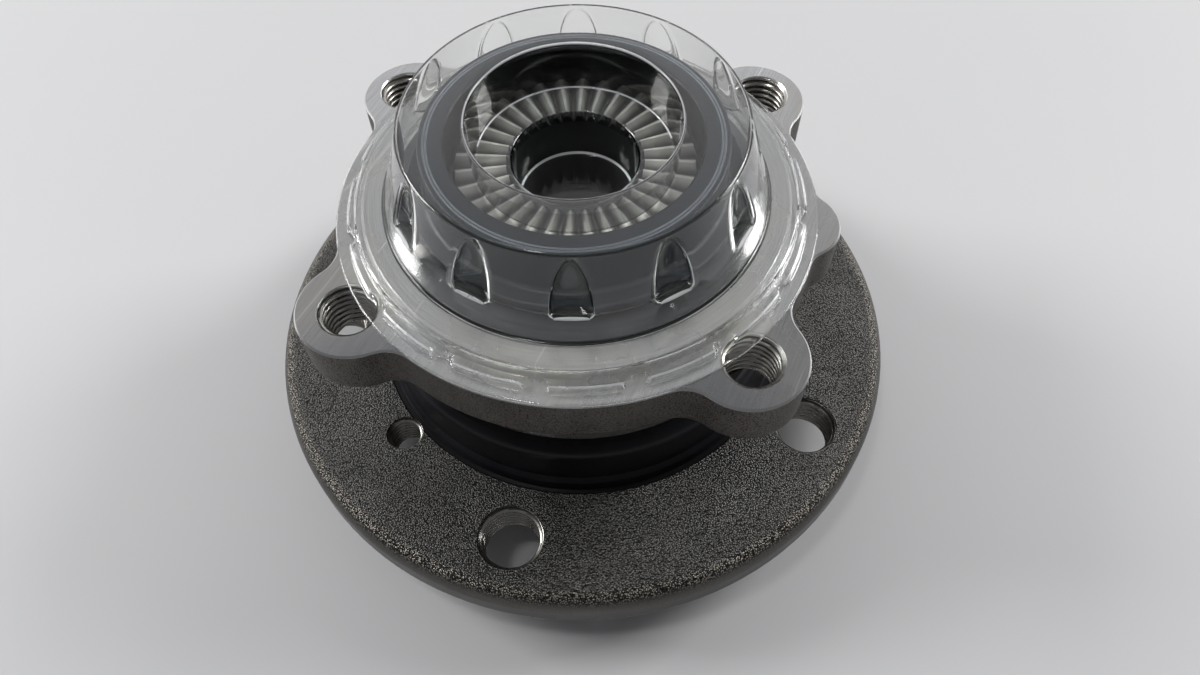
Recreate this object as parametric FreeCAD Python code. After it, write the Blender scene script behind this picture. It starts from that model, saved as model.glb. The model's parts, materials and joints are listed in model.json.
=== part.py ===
"""Driven wheel hub: flanged double-row ball bearing unit with face splines and a clear transport cap.

Millimetres. The turning axis is Z. The wheel side faces down and rests on its spigot at Z = 0,
the knuckle side faces up. The origin is on the axis at the foot of the spigot.
"""
import FreeCAD, Part
import math
import os

V = FreeCAD.Vector
AXIS = V(0, 0, 1)
ORIGIN = V(0, 0, 0)

# Wheel flange and spigot of the hub forging
WHEEL_FLANGE_R = 73.3
WHEEL_FACE_Z = 12.4
WHEEL_FLANGE_BACK_Z = 22.0
RIM_ROUND = 4.0
FACE_BEVEL = 1.2
BARREL_FILLET = 6.0
SPIGOT_R = 36.25
SPIGOT_LEAD = 1.65
DISC_PILOT_R = 37.5
DISC_PILOT_FOOT_Z = 6.4
RECESS_R = 29.2
RECESS_FLOOR_Z = 18.0
SEAL_TRACK_Z = 21.8
SEAL_TRACK_R = 48.6

# Tapped holes of the wheel flange, at their nominal thread size
WHEEL_BOLT_CIRCLE_R = 60.0
WHEEL_BOLT_R = 7.0
WHEEL_BOLT_COUNT = 5
WHEEL_BOLT_FIRST_DEG = -106.8
DISC_SCREW_R = 4.0
DISC_SCREW_CIRCLE_R = 52.0
DISC_SCREW_DEG = -142.8
HOLE_CHAMFER = 0.2

# Bore for the centre bolt
CENTRE_BORE_R = 9.0
COLLAR_BORE_R = 13.0
COLLAR_BORE_FLOOR_Z = 46.0

# Ball rows
BALL_R = 5.556
BALL_CIRCLE_R = 33.0
BALL_COUNT = 15
OUTBOARD_ROW_Z = 37.0
INBOARD_ROW_Z = 55.5
RACE_GAP = 0.10
LOW_LAND_R = 27.9
HIGH_LAND_R = 31.2
OUTER_LOW_LAND_R = 38.2
OUTER_HIGH_LAND_R = 35.2

# Inner ring and riveted collar
INNER_SEAT_R = 22.5
INNER_RING_FOOT_Z = 44.0
INNER_RING_TOP_Z = 70.0
INNER_RING_BEVEL = 3.0
INNER_RING_EDGE = 0.6
COLLAR_R = 28.2
COLLAR_CREST_Z = 72.6

# Face splines
SPLINE_COUNT = 32
SPLINE_INNER_R = 13.6
SPLINE_OUTER_R = 23.8
SPLINE_CREST_Z = 74.6
SPLINE_DEPTH = 1.9
SPLINE_CREST_SHARE = 0.16
SPLINE_ROOT_SHARE = 0.14

# Outer ring
BODY_R = 43.5
SEAL_SEAT_R = 42.6
OUTER_FOOT_Z = 26.0
KNUCKLE_BACK_Z = 50.9
KNUCKLE_FACE_Z = 62.9
PILOT_R = 44.0
PILOT_TOP_Z = 67.0
OUTBOARD_BORE_R = 40.0
INBOARD_BORE_R = 39.4
INBOARD_SEAL_DEPTH = 5.2

# Seals of the two bearing ends, and the slinger with its magnet ring
OUTBOARD_CASE_WALL = 0.8
OUTBOARD_CASE_REACH_R = 35.5
OUTBOARD_CASE_DEPTH = 5.0
INBOARD_CASE_WALL = 0.7
INBOARD_CASE_HEIGHT = 3.9
INBOARD_CASE_REACH_R = 34.6
INBOARD_LIP_R = 32.35
SLINGER_WALL = 0.7
SLINGER_R = 38.2
SLINGER_DROP = 1.7
SLINGER_LEG = 2.9
MAGNET_RING_R = 32.4
MAGNET_RING_HEIGHT = 0.9
MAGNET_RING_BEVEL = 0.3

# Knuckle flange with its ears
KNUCKLE_BODY_R = 49.9
FRONT_EAR_CIRCLE_R = 50.5
FRONT_EAR_R = 11.8
BACK_EAR_CIRCLE_R = 49.9
BACK_EAR_R = 11.3
EAR_BLEND_R = 7.0
EAR_HOLE_CIRCLE_R = 52.0
EAR_HOLE_R = 6.0
FRONT_EARS_DEG = (-150.0, -53.3)
BACK_EARS_DEG = (34.5, 136.8)
BLANK_EAR_DEG = -11.6
BLANK_EAR_CIRCLE_R = 45.5
BLANK_EAR_R = 9.0
BLANK_EAR_BLEND_R = 5.0
FORGED_ROUND = 2.0
PLATE_BORE_R = 45.5
GROUND_EDGE = 0.35

# Ring that seals the face splines
SPLINE_SEAL_FLANGE_R = 34.0
SPLINE_SEAL_R = 30.3
SPLINE_SEAL_BORE_R = 25.2
SPLINE_SEAL_FOOT_Z = 69.0
SPLINE_SEAL_FLANGE_Z = 71.4
SPLINE_SEAL_TOP_Z = 81.2
SPLINE_SEAL_ROUND = 0.5
SPLINE_SEAL_GROOVES_R = (29.1, 28.5)
SPLINE_SEAL_GROOVE_WIDTH = 0.25
SPLINE_SEAL_GROOVE_DEPTH = 0.25
SPLINE_SEAL_CLEARANCE = 0.6

# Cages
CAGE_INNER_R = 31.7
CAGE_OUTER_R = 34.7
CAGE_POCKET_R = 5.75
CAGE_MOUTH = 4.8
CAGE_BACK = 7.3

# Transport cap
CAP_WALL = 0.5
CAP_TOP_Z = 86.0
CAP_RIM_R = 33.6
CAP_BASE_R = 39.2
CAP_BASE_Z = 67.8
CAP_WELL_R = 20.9
CAP_SHELF_R = 20.1
CAP_SHELF_Z = 75.5
CAP_POCKET_R = 12.6
CAP_POCKET_FLOOR_R = 11.8
CAP_POCKET_FLOOR_Z = 64.6
CAP_PILOT_R = 45.4
CAP_BEAD_R = 47.3
CAP_BEAD_Z = 65.4
CAP_BRIM_R = 49.8
CAP_BRIM_Z = 63.4
DENT_COUNT = 12
DENT_FIRST_DEG = -3.0
DENT_TOP_Z = 84.8
DENT_FOOT_Z = 72.6
DENT_HALF_DEG = 6.1
DENT_REACH_R = 34.7
NOTCH_COUNT = 16
NOTCH_FIRST_DEG = -11.25
NOTCH_R = 2.85
NOTCH_CIRCLE_R = 48.5


def polar(radius, degrees, z=0.0):
    """Point at a radius and an angle round the turning axis."""
    angle = math.radians(degrees)
    return V(radius * math.cos(angle), radius * math.sin(angle), z)


def profile_wire(points):
    """Closed outline in the XZ plane. A point of four numbers ends an arc: middle r, z, then end r, z."""
    edges = []
    last = V(points[0][0], 0, points[0][1])
    for point in list(points[1:]) + [points[0][:2]]:
        end = V(point[-2], 0, point[-1])
        if len(point) == 4:
            edges.append(Part.Arc(last, V(point[0], 0, point[1]), end).toShape())
        else:
            edges.append(Part.LineSegment(last, end).toShape())
        last = end
    return Part.Wire(edges)


def turned(points):
    """Solid turned round the axis from a closed outline."""
    return Part.Face(profile_wire(points)).revolve(ORIGIN, AXIS, 360)


def groove(centre_r, centre_z, start_r, end_r, outer, up):
    """Arc of a raceway between two lands, as the points that enter and leave it.

    outer tells a groove in the outer ring from one in the inner, up tells which way the outline runs.
    """
    radius = BALL_R + RACE_GAP
    side = 1 if up else -1
    start_z = centre_z - side * math.sqrt(radius ** 2 - (start_r - centre_r) ** 2)
    end_z = centre_z + side * math.sqrt(radius ** 2 - (end_r - centre_r) ** 2)
    floor_r = centre_r + radius if outer else centre_r - radius
    return [(start_r, start_z), (floor_r, centre_z, end_r, end_z)]


def drilled(solid, radius, centre, low_z, high_z, chamfer):
    """The solid with one hole along Z, bevelled at both mouths."""
    tool = Part.makeCylinder(radius, high_z - low_z, V(centre.x, centre.y, low_z))
    low = Part.makeCone(radius + chamfer, radius, chamfer, V(centre.x, centre.y, low_z))
    high = Part.makeCone(radius, radius + chamfer, chamfer, V(centre.x, centre.y, high_z - chamfer))
    return solid.cut(Part.makeCompound([tool, low, high]))


def faceted(loops):
    """Solid bounded by flat faces, each given by its corners."""
    faces = []
    for loop in loops:
        faces.append(Part.Face(Part.makePolygon(list(loop) + [loop[0]])))
    return Part.makeSolid(Part.makeShell(faces))


def hub_blank():
    """Hub forging as turned: spigot, wheel flange, barrel with its raceway, and riveted collar."""
    rim_mid = RIM_ROUND * (1 - math.sqrt(0.5))
    barrel_z = SEAL_TRACK_Z + BARREL_FILLET
    fillet_mid = BARREL_FILLET * (1 - math.sqrt(0.5))
    outline = [
        (CENTRE_BORE_R, RECESS_FLOOR_Z + 0.8),
        (CENTRE_BORE_R + 0.8, RECESS_FLOOR_Z),
        (RECESS_R - 5.0, RECESS_FLOOR_Z),
        (RECESS_R - 2.0, RECESS_FLOOR_Z - 1.3, RECESS_R - 0.8, RECESS_FLOOR_Z - 4.0),
        (RECESS_R, FACE_BEVEL),
        (RECESS_R + FACE_BEVEL, 0.0),
        (SPIGOT_R - SPIGOT_LEAD, 0.0),
        (SPIGOT_R, SPIGOT_LEAD),
        (SPIGOT_R, DISC_PILOT_FOOT_Z),
        (DISC_PILOT_R, DISC_PILOT_FOOT_Z + 0.8),
        (DISC_PILOT_R, WHEEL_FACE_Z),
        (WHEEL_FLANGE_R - FACE_BEVEL, WHEEL_FACE_Z),
        (WHEEL_FLANGE_R, WHEEL_FACE_Z + FACE_BEVEL),
        (WHEEL_FLANGE_R, WHEEL_FLANGE_BACK_Z - RIM_ROUND),
        (WHEEL_FLANGE_R - rim_mid, WHEEL_FLANGE_BACK_Z - rim_mid,
         WHEEL_FLANGE_R - RIM_ROUND, WHEEL_FLANGE_BACK_Z),
        (SEAL_TRACK_R, WHEEL_FLANGE_BACK_Z),
        (SEAL_TRACK_R - 0.3, SEAL_TRACK_Z),
        (HIGH_LAND_R + BARREL_FILLET, SEAL_TRACK_Z),
        (HIGH_LAND_R + fillet_mid, SEAL_TRACK_Z + fillet_mid, HIGH_LAND_R, barrel_z),
    ]
    outline += groove(BALL_CIRCLE_R, OUTBOARD_ROW_Z, HIGH_LAND_R, LOW_LAND_R, outer=False, up=True)
    outline += [
        (LOW_LAND_R, INNER_RING_FOOT_Z),
        (INNER_SEAT_R, INNER_RING_FOOT_Z),
        (INNER_SEAT_R, INNER_RING_TOP_Z - INNER_RING_BEVEL),
        (INNER_SEAT_R + INNER_RING_BEVEL, INNER_RING_TOP_Z),
        (COLLAR_R - 0.7, INNER_RING_TOP_Z),
        (COLLAR_R, INNER_RING_TOP_Z + 0.8),
        (COLLAR_R - 0.9, COLLAR_CREST_Z - 0.5, COLLAR_R - 2.4, COLLAR_CREST_Z),
        (SPLINE_OUTER_R + 0.6, COLLAR_CREST_Z),
        (SPLINE_OUTER_R, SPLINE_CREST_Z),
        (SPLINE_INNER_R, SPLINE_CREST_Z),
        (COLLAR_BORE_R, SPLINE_CREST_Z - 0.6),
        (COLLAR_BORE_R, COLLAR_BORE_FLOOR_Z),
        (CENTRE_BORE_R, COLLAR_BORE_FLOOR_Z - 4.0),
    ]
    return turned(outline)


def spline_gap_section(radius):
    """Trapezoid between two face-spline teeth at one radius, wide mouth up."""
    pitch = 2 * math.pi * radius / SPLINE_COUNT
    mouth = pitch * (1 - SPLINE_CREST_SHARE) / 2
    root = pitch * SPLINE_ROOT_SHARE / 2
    over = 0.2
    spread = mouth + (mouth - root) * over / SPLINE_DEPTH
    top = SPLINE_CREST_Z + over
    foot = SPLINE_CREST_Z - SPLINE_DEPTH
    corners = [V(radius, -spread, top), V(radius, -root, foot), V(radius, root, foot), V(radius, spread, top)]
    return Part.makePolygon(corners + corners[:1])


def face_splines(solid):
    """The collar's end face cut into radial teeth."""
    gap = Part.makeLoft([spline_gap_section(SPLINE_INNER_R - 1.5), spline_gap_section(SPLINE_OUTER_R + 1.5)],
                        True, True)
    gaps = []
    for index in range(SPLINE_COUNT):
        gaps.append(gap.rotated(ORIGIN, AXIS, 360.0 * index / SPLINE_COUNT))
    return solid.cut(Part.makeCompound(gaps))


def hub_flange():
    """Hub forging with its tapped holes and face splines."""
    solid = face_splines(hub_blank())
    for index in range(WHEEL_BOLT_COUNT):
        angle = WHEEL_BOLT_FIRST_DEG + 360.0 * index / WHEEL_BOLT_COUNT
        solid = drilled(solid, WHEEL_BOLT_R, polar(WHEEL_BOLT_CIRCLE_R, angle),
                        WHEEL_FACE_Z, WHEEL_FLANGE_BACK_Z, HOLE_CHAMFER)
    return drilled(solid, DISC_SCREW_R, polar(DISC_SCREW_CIRCLE_R, DISC_SCREW_DEG),
                   WHEEL_FACE_Z, WHEEL_FLANGE_BACK_Z, HOLE_CHAMFER)


def inner_ring():
    """Inboard inner ring, pressed on the barrel and held by the collar."""
    outline = [
        (INNER_SEAT_R, INNER_RING_FOOT_Z),
        (LOW_LAND_R - INNER_RING_EDGE, INNER_RING_FOOT_Z),
        (LOW_LAND_R, INNER_RING_FOOT_Z + INNER_RING_EDGE),
    ]
    outline += groove(BALL_CIRCLE_R, INBOARD_ROW_Z, LOW_LAND_R, HIGH_LAND_R, outer=False, up=True)
    outline += [
        (HIGH_LAND_R, INNER_RING_TOP_Z - INNER_RING_EDGE),
        (HIGH_LAND_R - INNER_RING_EDGE, INNER_RING_TOP_Z),
        (INNER_SEAT_R + INNER_RING_BEVEL, INNER_RING_TOP_Z),
        (INNER_SEAT_R, INNER_RING_TOP_Z - INNER_RING_BEVEL),
    ]
    return turned(outline)


def outer_body():
    """Outer ring as turned: seal seats, two raceways and pilot."""
    outline = [
        (OUTBOARD_BORE_R, OUTER_FOOT_Z),
        (SEAL_SEAT_R - 0.5, OUTER_FOOT_Z),
        (SEAL_SEAT_R, OUTER_FOOT_Z + 0.5),
        (SEAL_SEAT_R, OUTER_FOOT_Z + 11.5),
        (BODY_R, OUTER_FOOT_Z + 12.4),
        (BODY_R, KNUCKLE_BACK_Z - 4.0),
        (BODY_R + 1.2, KNUCKLE_BACK_Z - 1.2, BODY_R + 4.0, KNUCKLE_BACK_Z),
        (BODY_R + 4.0, KNUCKLE_FACE_Z),
        (PILOT_R, KNUCKLE_FACE_Z),
        (PILOT_R, PILOT_TOP_Z - 0.6),
        (PILOT_R - 0.6, PILOT_TOP_Z),
        (INBOARD_BORE_R + 0.4, PILOT_TOP_Z),
        (INBOARD_BORE_R, PILOT_TOP_Z - 0.4),
        (INBOARD_BORE_R, PILOT_TOP_Z - 6.0),
        (OUTER_LOW_LAND_R, PILOT_TOP_Z - 6.0),
    ]
    outline += groove(BALL_CIRCLE_R, INBOARD_ROW_Z, OUTER_LOW_LAND_R, OUTER_HIGH_LAND_R, outer=True, up=False)
    outline += groove(BALL_CIRCLE_R, OUTBOARD_ROW_Z, OUTER_HIGH_LAND_R, OUTER_LOW_LAND_R, outer=True, up=False)
    outline += [
        (OUTER_LOW_LAND_R, OUTER_FOOT_Z + 5.0),
        (OUTBOARD_BORE_R, OUTER_FOOT_Z + 5.0),
    ]
    return turned(outline)


def ear_turns(circle_r, ear_r, blend_r):
    """Half angles of one ear, from its middle: where its blend leaves the body and where it meets the ear.

    Gives the angle of the blend's centre and its radius, by the triangle of the three centres.
    """
    far = KNUCKLE_BODY_R + blend_r
    cosine = (circle_r ** 2 + far ** 2 - (ear_r + blend_r) ** 2) / (2 * circle_r * far)
    return math.degrees(math.acos(cosine)), far


def ear_points(middle_deg, circle_r, ear_r, blend_r):
    """Arcs of one ear in turning order: blend, ear, blend, each as start, middle and end."""
    half, far = ear_turns(circle_r, ear_r, blend_r)
    centre = polar(circle_r, middle_deg)
    arcs = []
    for side in (-1, 1):
        blend_centre = polar(far, middle_deg + side * half)
        root = polar(KNUCKLE_BODY_R, middle_deg + side * half)
        toward_ear = (centre - blend_centre).normalize()
        join = blend_centre + toward_ear * blend_r
        toward_root = (root - blend_centre).normalize()
        middle = blend_centre + (toward_ear + toward_root).normalize() * blend_r
        arcs.append((root, middle, join))
    tip = polar(circle_r + ear_r, middle_deg)
    first, last = arcs
    return [first, (first[2], tip, last[2]), (last[2], last[1], last[0])]


def knuckle_outline():
    """Outline of the knuckle flange: round body, four ears and the short blank ear."""
    ears = []
    for angle in FRONT_EARS_DEG:
        ears.append((angle, FRONT_EAR_CIRCLE_R, FRONT_EAR_R, EAR_BLEND_R))
    for angle in BACK_EARS_DEG:
        ears.append((angle, BACK_EAR_CIRCLE_R, BACK_EAR_R, EAR_BLEND_R))
    ears.append((BLANK_EAR_DEG, BLANK_EAR_CIRCLE_R, BLANK_EAR_R, BLANK_EAR_BLEND_R))
    ears.sort()
    edges = []
    for index, ear in enumerate(ears):
        for start, middle, end in ear_points(*ear):
            edges.append(Part.Arc(start, middle, end).toShape())
        following = ears[(index + 1) % len(ears)]
        turn = 360.0 if index == len(ears) - 1 else 0.0
        leave = ear[0] + ear_turns(*ear[1:])[0]
        arrive = following[0] + turn - ear_turns(*following[1:])[0]
        edges.append(Part.Arc(polar(KNUCKLE_BODY_R, leave), polar(KNUCKLE_BODY_R, (leave + arrive) / 2),
                              polar(KNUCKLE_BODY_R, arrive)).toShape())
    return Part.Wire(Part.__sortEdges__(edges))


def knuckle_plate():
    """Knuckle flange plate, rounded along its forged lower edge and bevelled along its ground face."""
    outline = knuckle_outline()
    outline.translate(V(0, 0, KNUCKLE_BACK_Z))
    plate = Part.Face(outline).extrude(V(0, 0, KNUCKLE_FACE_Z - KNUCKLE_BACK_Z))
    low = [edge for edge in plate.Edges if abs(edge.BoundBox.ZMax - KNUCKLE_BACK_Z) < 0.01]
    plate = plate.makeFillet(FORGED_ROUND, low)
    high = [edge for edge in plate.Edges if edge.BoundBox.ZMin > KNUCKLE_FACE_Z - 0.01]
    plate = plate.makeChamfer(GROUND_EDGE, high)
    beyond = 10.0
    height = KNUCKLE_FACE_Z - KNUCKLE_BACK_Z + 2 * beyond
    return plate.cut(Part.makeCylinder(PLATE_BORE_R, height, V(0, 0, KNUCKLE_BACK_Z - beyond)))


def outer_ring():
    """Outer ring with its knuckle flange and tapped ears."""
    solid = outer_body().fuse(knuckle_plate()).removeSplitter()
    for angle in FRONT_EARS_DEG + BACK_EARS_DEG:
        solid = drilled(solid, EAR_HOLE_R, polar(EAR_HOLE_CIRCLE_R, angle),
                        KNUCKLE_BACK_Z, KNUCKLE_FACE_Z, HOLE_CHAMFER)
    return solid


def outboard_seal_case():
    """Steel case pressed into the outer ring's wheel-side bore."""
    deep = OUTER_FOOT_Z + OUTBOARD_CASE_DEPTH
    return turned([
        (OUTBOARD_BORE_R, OUTER_FOOT_Z),
        (OUTBOARD_BORE_R, deep),
        (OUTBOARD_CASE_REACH_R, deep),
        (OUTBOARD_CASE_REACH_R, deep - OUTBOARD_CASE_WALL),
        (OUTBOARD_BORE_R - OUTBOARD_CASE_WALL, deep - OUTBOARD_CASE_WALL),
        (OUTBOARD_BORE_R - OUTBOARD_CASE_WALL, OUTER_FOOT_Z),
    ])


def outboard_seal():
    """Black rubber seal: collar over the outer ring's end, and lips that run close to the wheel flange."""
    leg_r = OUTBOARD_BORE_R - OUTBOARD_CASE_WALL
    leg_z = OUTER_FOOT_Z + OUTBOARD_CASE_DEPTH - OUTBOARD_CASE_WALL
    return turned([
        (SEAL_SEAT_R, OUTER_FOOT_Z + 10.8),
        (SEAL_SEAT_R, OUTER_FOOT_Z + 0.5),
        (SEAL_SEAT_R - 0.5, OUTER_FOOT_Z),
        (leg_r, OUTER_FOOT_Z),
        (leg_r, leg_z),
        (OUTBOARD_CASE_REACH_R, leg_z),
        (34.4, leg_z - 0.3),
        (31.9, leg_z - 2.0),
        (32.1, leg_z - 2.7),
        (35.4, leg_z - 1.4),
        (36.3, leg_z - 3.0),
        (35.2, leg_z - 5.0),
        (35.9, leg_z - 5.4),
        (37.6, leg_z - 3.0),
        (38.1, leg_z - 5.2),
        (37.9, SEAL_TRACK_Z + 0.45),
        (38.6, SEAL_TRACK_Z + 0.4),
        (39.5, SEAL_TRACK_Z + 2.6),
        (40.4, OUTER_FOOT_Z - 1.2),
        (44.6, OUTER_FOOT_Z - 1.2),
        (46.4, SEAL_TRACK_Z + 0.5),
        (47.3, SEAL_TRACK_Z + 0.4),
        (47.0, SEAL_TRACK_Z + 2.2),
        (46.2, SEAL_TRACK_Z + 3.6),
        (46.2, OUTER_FOOT_Z + 7.6),
        (45.6, OUTER_FOOT_Z + 9.6, 44.2, OUTER_FOOT_Z + 10.8),
    ])


def inboard_seal_case():
    """Steel case pressed into the outer ring's knuckle-side bore."""
    foot = PILOT_TOP_Z - INBOARD_SEAL_DEPTH
    return turned([
        (INBOARD_BORE_R, foot),
        (INBOARD_BORE_R, foot + INBOARD_CASE_HEIGHT),
        (INBOARD_BORE_R - INBOARD_CASE_WALL, foot + INBOARD_CASE_HEIGHT),
        (INBOARD_BORE_R - INBOARD_CASE_WALL, foot + INBOARD_CASE_WALL),
        (INBOARD_CASE_REACH_R, foot + INBOARD_CASE_WALL),
        (INBOARD_CASE_REACH_R, foot),
    ])


def inboard_seal_lips():
    """Rubber lips on the inboard seal case, close to the slinger."""
    foot = PILOT_TOP_Z - INBOARD_SEAL_DEPTH
    back = foot + INBOARD_CASE_WALL
    return turned([
        (INBOARD_CASE_REACH_R, foot),
        (INBOARD_CASE_REACH_R, back),
        (37.6, back),
        (37.0, back + 0.8),
        (35.9, back + 2.2),
        (35.4, back + 2.0),
        (35.9, back + 0.7),
        (34.2, back + 0.6),
        (32.9, back + 1.5),
        (32.4, back + 1.2),
        (33.4, back),
        (INBOARD_LIP_R, back - 0.2),
        (INBOARD_LIP_R, foot),
    ])


def encoder_carrier():
    """Steel slinger pressed on the inner ring, which carries the encoder ring."""
    disc = PILOT_TOP_Z - SLINGER_DROP
    foot = disc - SLINGER_LEG
    return turned([
        (HIGH_LAND_R, foot),
        (HIGH_LAND_R + SLINGER_WALL, foot),
        (HIGH_LAND_R + SLINGER_WALL, disc),
        (SLINGER_R, disc),
        (SLINGER_R, disc + SLINGER_WALL),
        (HIGH_LAND_R, disc + SLINGER_WALL),
    ])


def encoder_ring():
    """Black magnet ring bonded on the slinger, which the wheel-speed sensor reads."""
    foot = PILOT_TOP_Z - SLINGER_DROP + SLINGER_WALL
    top = foot + MAGNET_RING_HEIGHT
    return turned([
        (MAGNET_RING_R, foot),
        (SLINGER_R, foot),
        (SLINGER_R, top - MAGNET_RING_BEVEL),
        (SLINGER_R - MAGNET_RING_BEVEL, top),
        (MAGNET_RING_R + MAGNET_RING_BEVEL, top),
        (MAGNET_RING_R, top - MAGNET_RING_BEVEL),
    ])


def spline_seal():
    """Black ring on the inner ring: flange, tall collar round the face splines, two fine grooves on top."""
    over_collar_z = COLLAR_CREST_Z + SPLINE_SEAL_CLEARANCE
    corner = SPLINE_SEAL_ROUND
    corner_mid = corner * (1 - math.sqrt(0.5))
    outline = [
        (HIGH_LAND_R, SPLINE_SEAL_FOOT_Z),
        (SPLINE_SEAL_FLANGE_R - corner, SPLINE_SEAL_FOOT_Z),
        (SPLINE_SEAL_FLANGE_R, SPLINE_SEAL_FOOT_Z + corner),
        (SPLINE_SEAL_FLANGE_R, SPLINE_SEAL_FLANGE_Z - corner),
        (SPLINE_SEAL_FLANGE_R - corner_mid, SPLINE_SEAL_FLANGE_Z - corner_mid,
         SPLINE_SEAL_FLANGE_R - corner, SPLINE_SEAL_FLANGE_Z),
        (SPLINE_SEAL_R + 2 * corner, SPLINE_SEAL_FLANGE_Z),
        (SPLINE_SEAL_R + 2 * corner_mid, SPLINE_SEAL_FLANGE_Z + 2 * corner_mid,
         SPLINE_SEAL_R, SPLINE_SEAL_FLANGE_Z + 2 * corner),
        (SPLINE_SEAL_R, SPLINE_SEAL_TOP_Z - corner),
        (SPLINE_SEAL_R - corner_mid, SPLINE_SEAL_TOP_Z - corner_mid,
         SPLINE_SEAL_R - corner, SPLINE_SEAL_TOP_Z),
    ]
    for radius in SPLINE_SEAL_GROOVES_R:
        half = SPLINE_SEAL_GROOVE_WIDTH / 2
        outline += [
            (radius + half, SPLINE_SEAL_TOP_Z),
            (radius, SPLINE_SEAL_TOP_Z - SPLINE_SEAL_GROOVE_DEPTH),
            (radius - half, SPLINE_SEAL_TOP_Z),
        ]
    outline += [
        (SPLINE_SEAL_BORE_R + corner, SPLINE_SEAL_TOP_Z),
        (SPLINE_SEAL_BORE_R + corner_mid, SPLINE_SEAL_TOP_Z - corner_mid,
         SPLINE_SEAL_BORE_R, SPLINE_SEAL_TOP_Z - corner),
        (SPLINE_SEAL_BORE_R, over_collar_z),
        (COLLAR_R + SPLINE_SEAL_CLEARANCE, over_collar_z),
        (COLLAR_R + SPLINE_SEAL_CLEARANCE, INNER_RING_TOP_Z),
        (HIGH_LAND_R - INNER_RING_EDGE, INNER_RING_TOP_Z),
        (HIGH_LAND_R, INNER_RING_TOP_Z - INNER_RING_EDGE),
    ]
    return turned(outline)


def cage(row_z, back):
    """Plastic cage of one ball row. back is +1 where its closed side lies above the balls, else -1."""
    low = row_z - CAGE_MOUTH * back
    high = row_z + CAGE_BACK * back
    foot, top = min(low, high), max(low, high)
    band = turned([(CAGE_INNER_R, foot), (CAGE_OUTER_R, foot), (CAGE_OUTER_R, top), (CAGE_INNER_R, top)])
    pockets = []
    for index in range(BALL_COUNT):
        pockets.append(Part.makeSphere(CAGE_POCKET_R, polar(BALL_CIRCLE_R, 360.0 * index / BALL_COUNT, row_z)))
    return band.cut(Part.makeCompound(pockets))


def ball(row_z, index):
    """One bearing ball of a row."""
    return Part.makeSphere(BALL_R, polar(BALL_CIRCLE_R, 360.0 * index / BALL_COUNT, row_z))


def cap_form(inset):
    """Solid under the cap's skin. An inset of 0 gives its outer face, of one wall its inner face."""
    low = CAP_BRIM_Z - CAP_WALL
    foot = low - 1.0 if inset else low
    lean = (CAP_BASE_R - CAP_RIM_R) / (CAP_TOP_Z - CAP_BASE_Z)
    side = inset * math.sqrt(1 + lean ** 2)
    points = [
        (0.0, foot),
        (0.0, CAP_POCKET_FLOOR_Z - inset),
        (CAP_POCKET_FLOOR_R + inset - 0.8, CAP_POCKET_FLOOR_Z - inset),
        (CAP_POCKET_FLOOR_R + inset, CAP_POCKET_FLOOR_Z - inset + 0.8),
        (CAP_POCKET_R + inset - 0.4, CAP_SHELF_Z - inset),
        (CAP_SHELF_R + inset - 0.8, CAP_SHELF_Z - inset),
        (CAP_SHELF_R + inset, CAP_SHELF_Z - inset + 0.8),
        (CAP_WELL_R + inset - 0.3, CAP_TOP_Z - inset - 0.5),
        (CAP_WELL_R + inset + 0.1, CAP_TOP_Z - inset),
        (CAP_RIM_R - side - 0.5, CAP_TOP_Z - inset),
        (CAP_RIM_R - side + lean * (0.5 - inset), CAP_TOP_Z - inset - 0.5),
        (CAP_BASE_R - side - lean * inset, CAP_BASE_Z + 0.6 - inset),
        (CAP_BASE_R - side + 0.6, CAP_BASE_Z - inset),
        (CAP_PILOT_R - inset - 0.5, CAP_BASE_Z - inset),
        (CAP_PILOT_R - inset, CAP_BASE_Z - inset - 0.5),
        (CAP_PILOT_R - inset, CAP_BEAD_Z - inset),
        (CAP_BEAD_R - inset - 0.5, CAP_BEAD_Z - inset),
        (CAP_BEAD_R - inset, CAP_BEAD_Z - inset - 0.5),
    ]
    if inset:
        points.append((CAP_BEAD_R - inset, foot))
    else:
        points += [(CAP_BEAD_R, CAP_BRIM_Z), (CAP_BRIM_R, CAP_BRIM_Z), (CAP_BRIM_R, foot)]
    return turned(points)


def dent_tool(inset):
    """Wedge that presses one dent into the side wall: narrow at the top, a ledge at its foot."""
    lean = (CAP_BASE_R - CAP_RIM_R) / (CAP_TOP_Z - CAP_BASE_Z)
    foot_z = DENT_FOOT_Z - inset
    top_z = DENT_TOP_Z - 0.5 * inset
    wall_r = CAP_RIM_R + lean * (CAP_TOP_Z - foot_z)
    top_r = CAP_RIM_R + lean * (CAP_TOP_Z - top_z)
    half = wall_r * math.sin(math.radians(DENT_HALF_DEG)) + inset
    inner = DENT_REACH_R - inset
    beyond = 3.0
    apex = V(top_r - inset, 0, top_z)
    apex_out = V(top_r + beyond, 0, top_z)
    outer_l = V(wall_r + beyond, -half, foot_z)
    outer_r = V(wall_r + beyond, half, foot_z)
    inner_l = V(inner, -0.6 * half, foot_z + 0.4)
    inner_r = V(inner, 0.6 * half, foot_z + 0.4)
    return faceted([
        (inner_l, inner_r, apex),
        (outer_l, inner_l, apex),
        (outer_l, apex, apex_out),
        (inner_r, outer_r, apex),
        (outer_r, apex_out, apex),
        (outer_l, apex_out, outer_r),
        (outer_l, outer_r, inner_r, inner_l),
    ])


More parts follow.
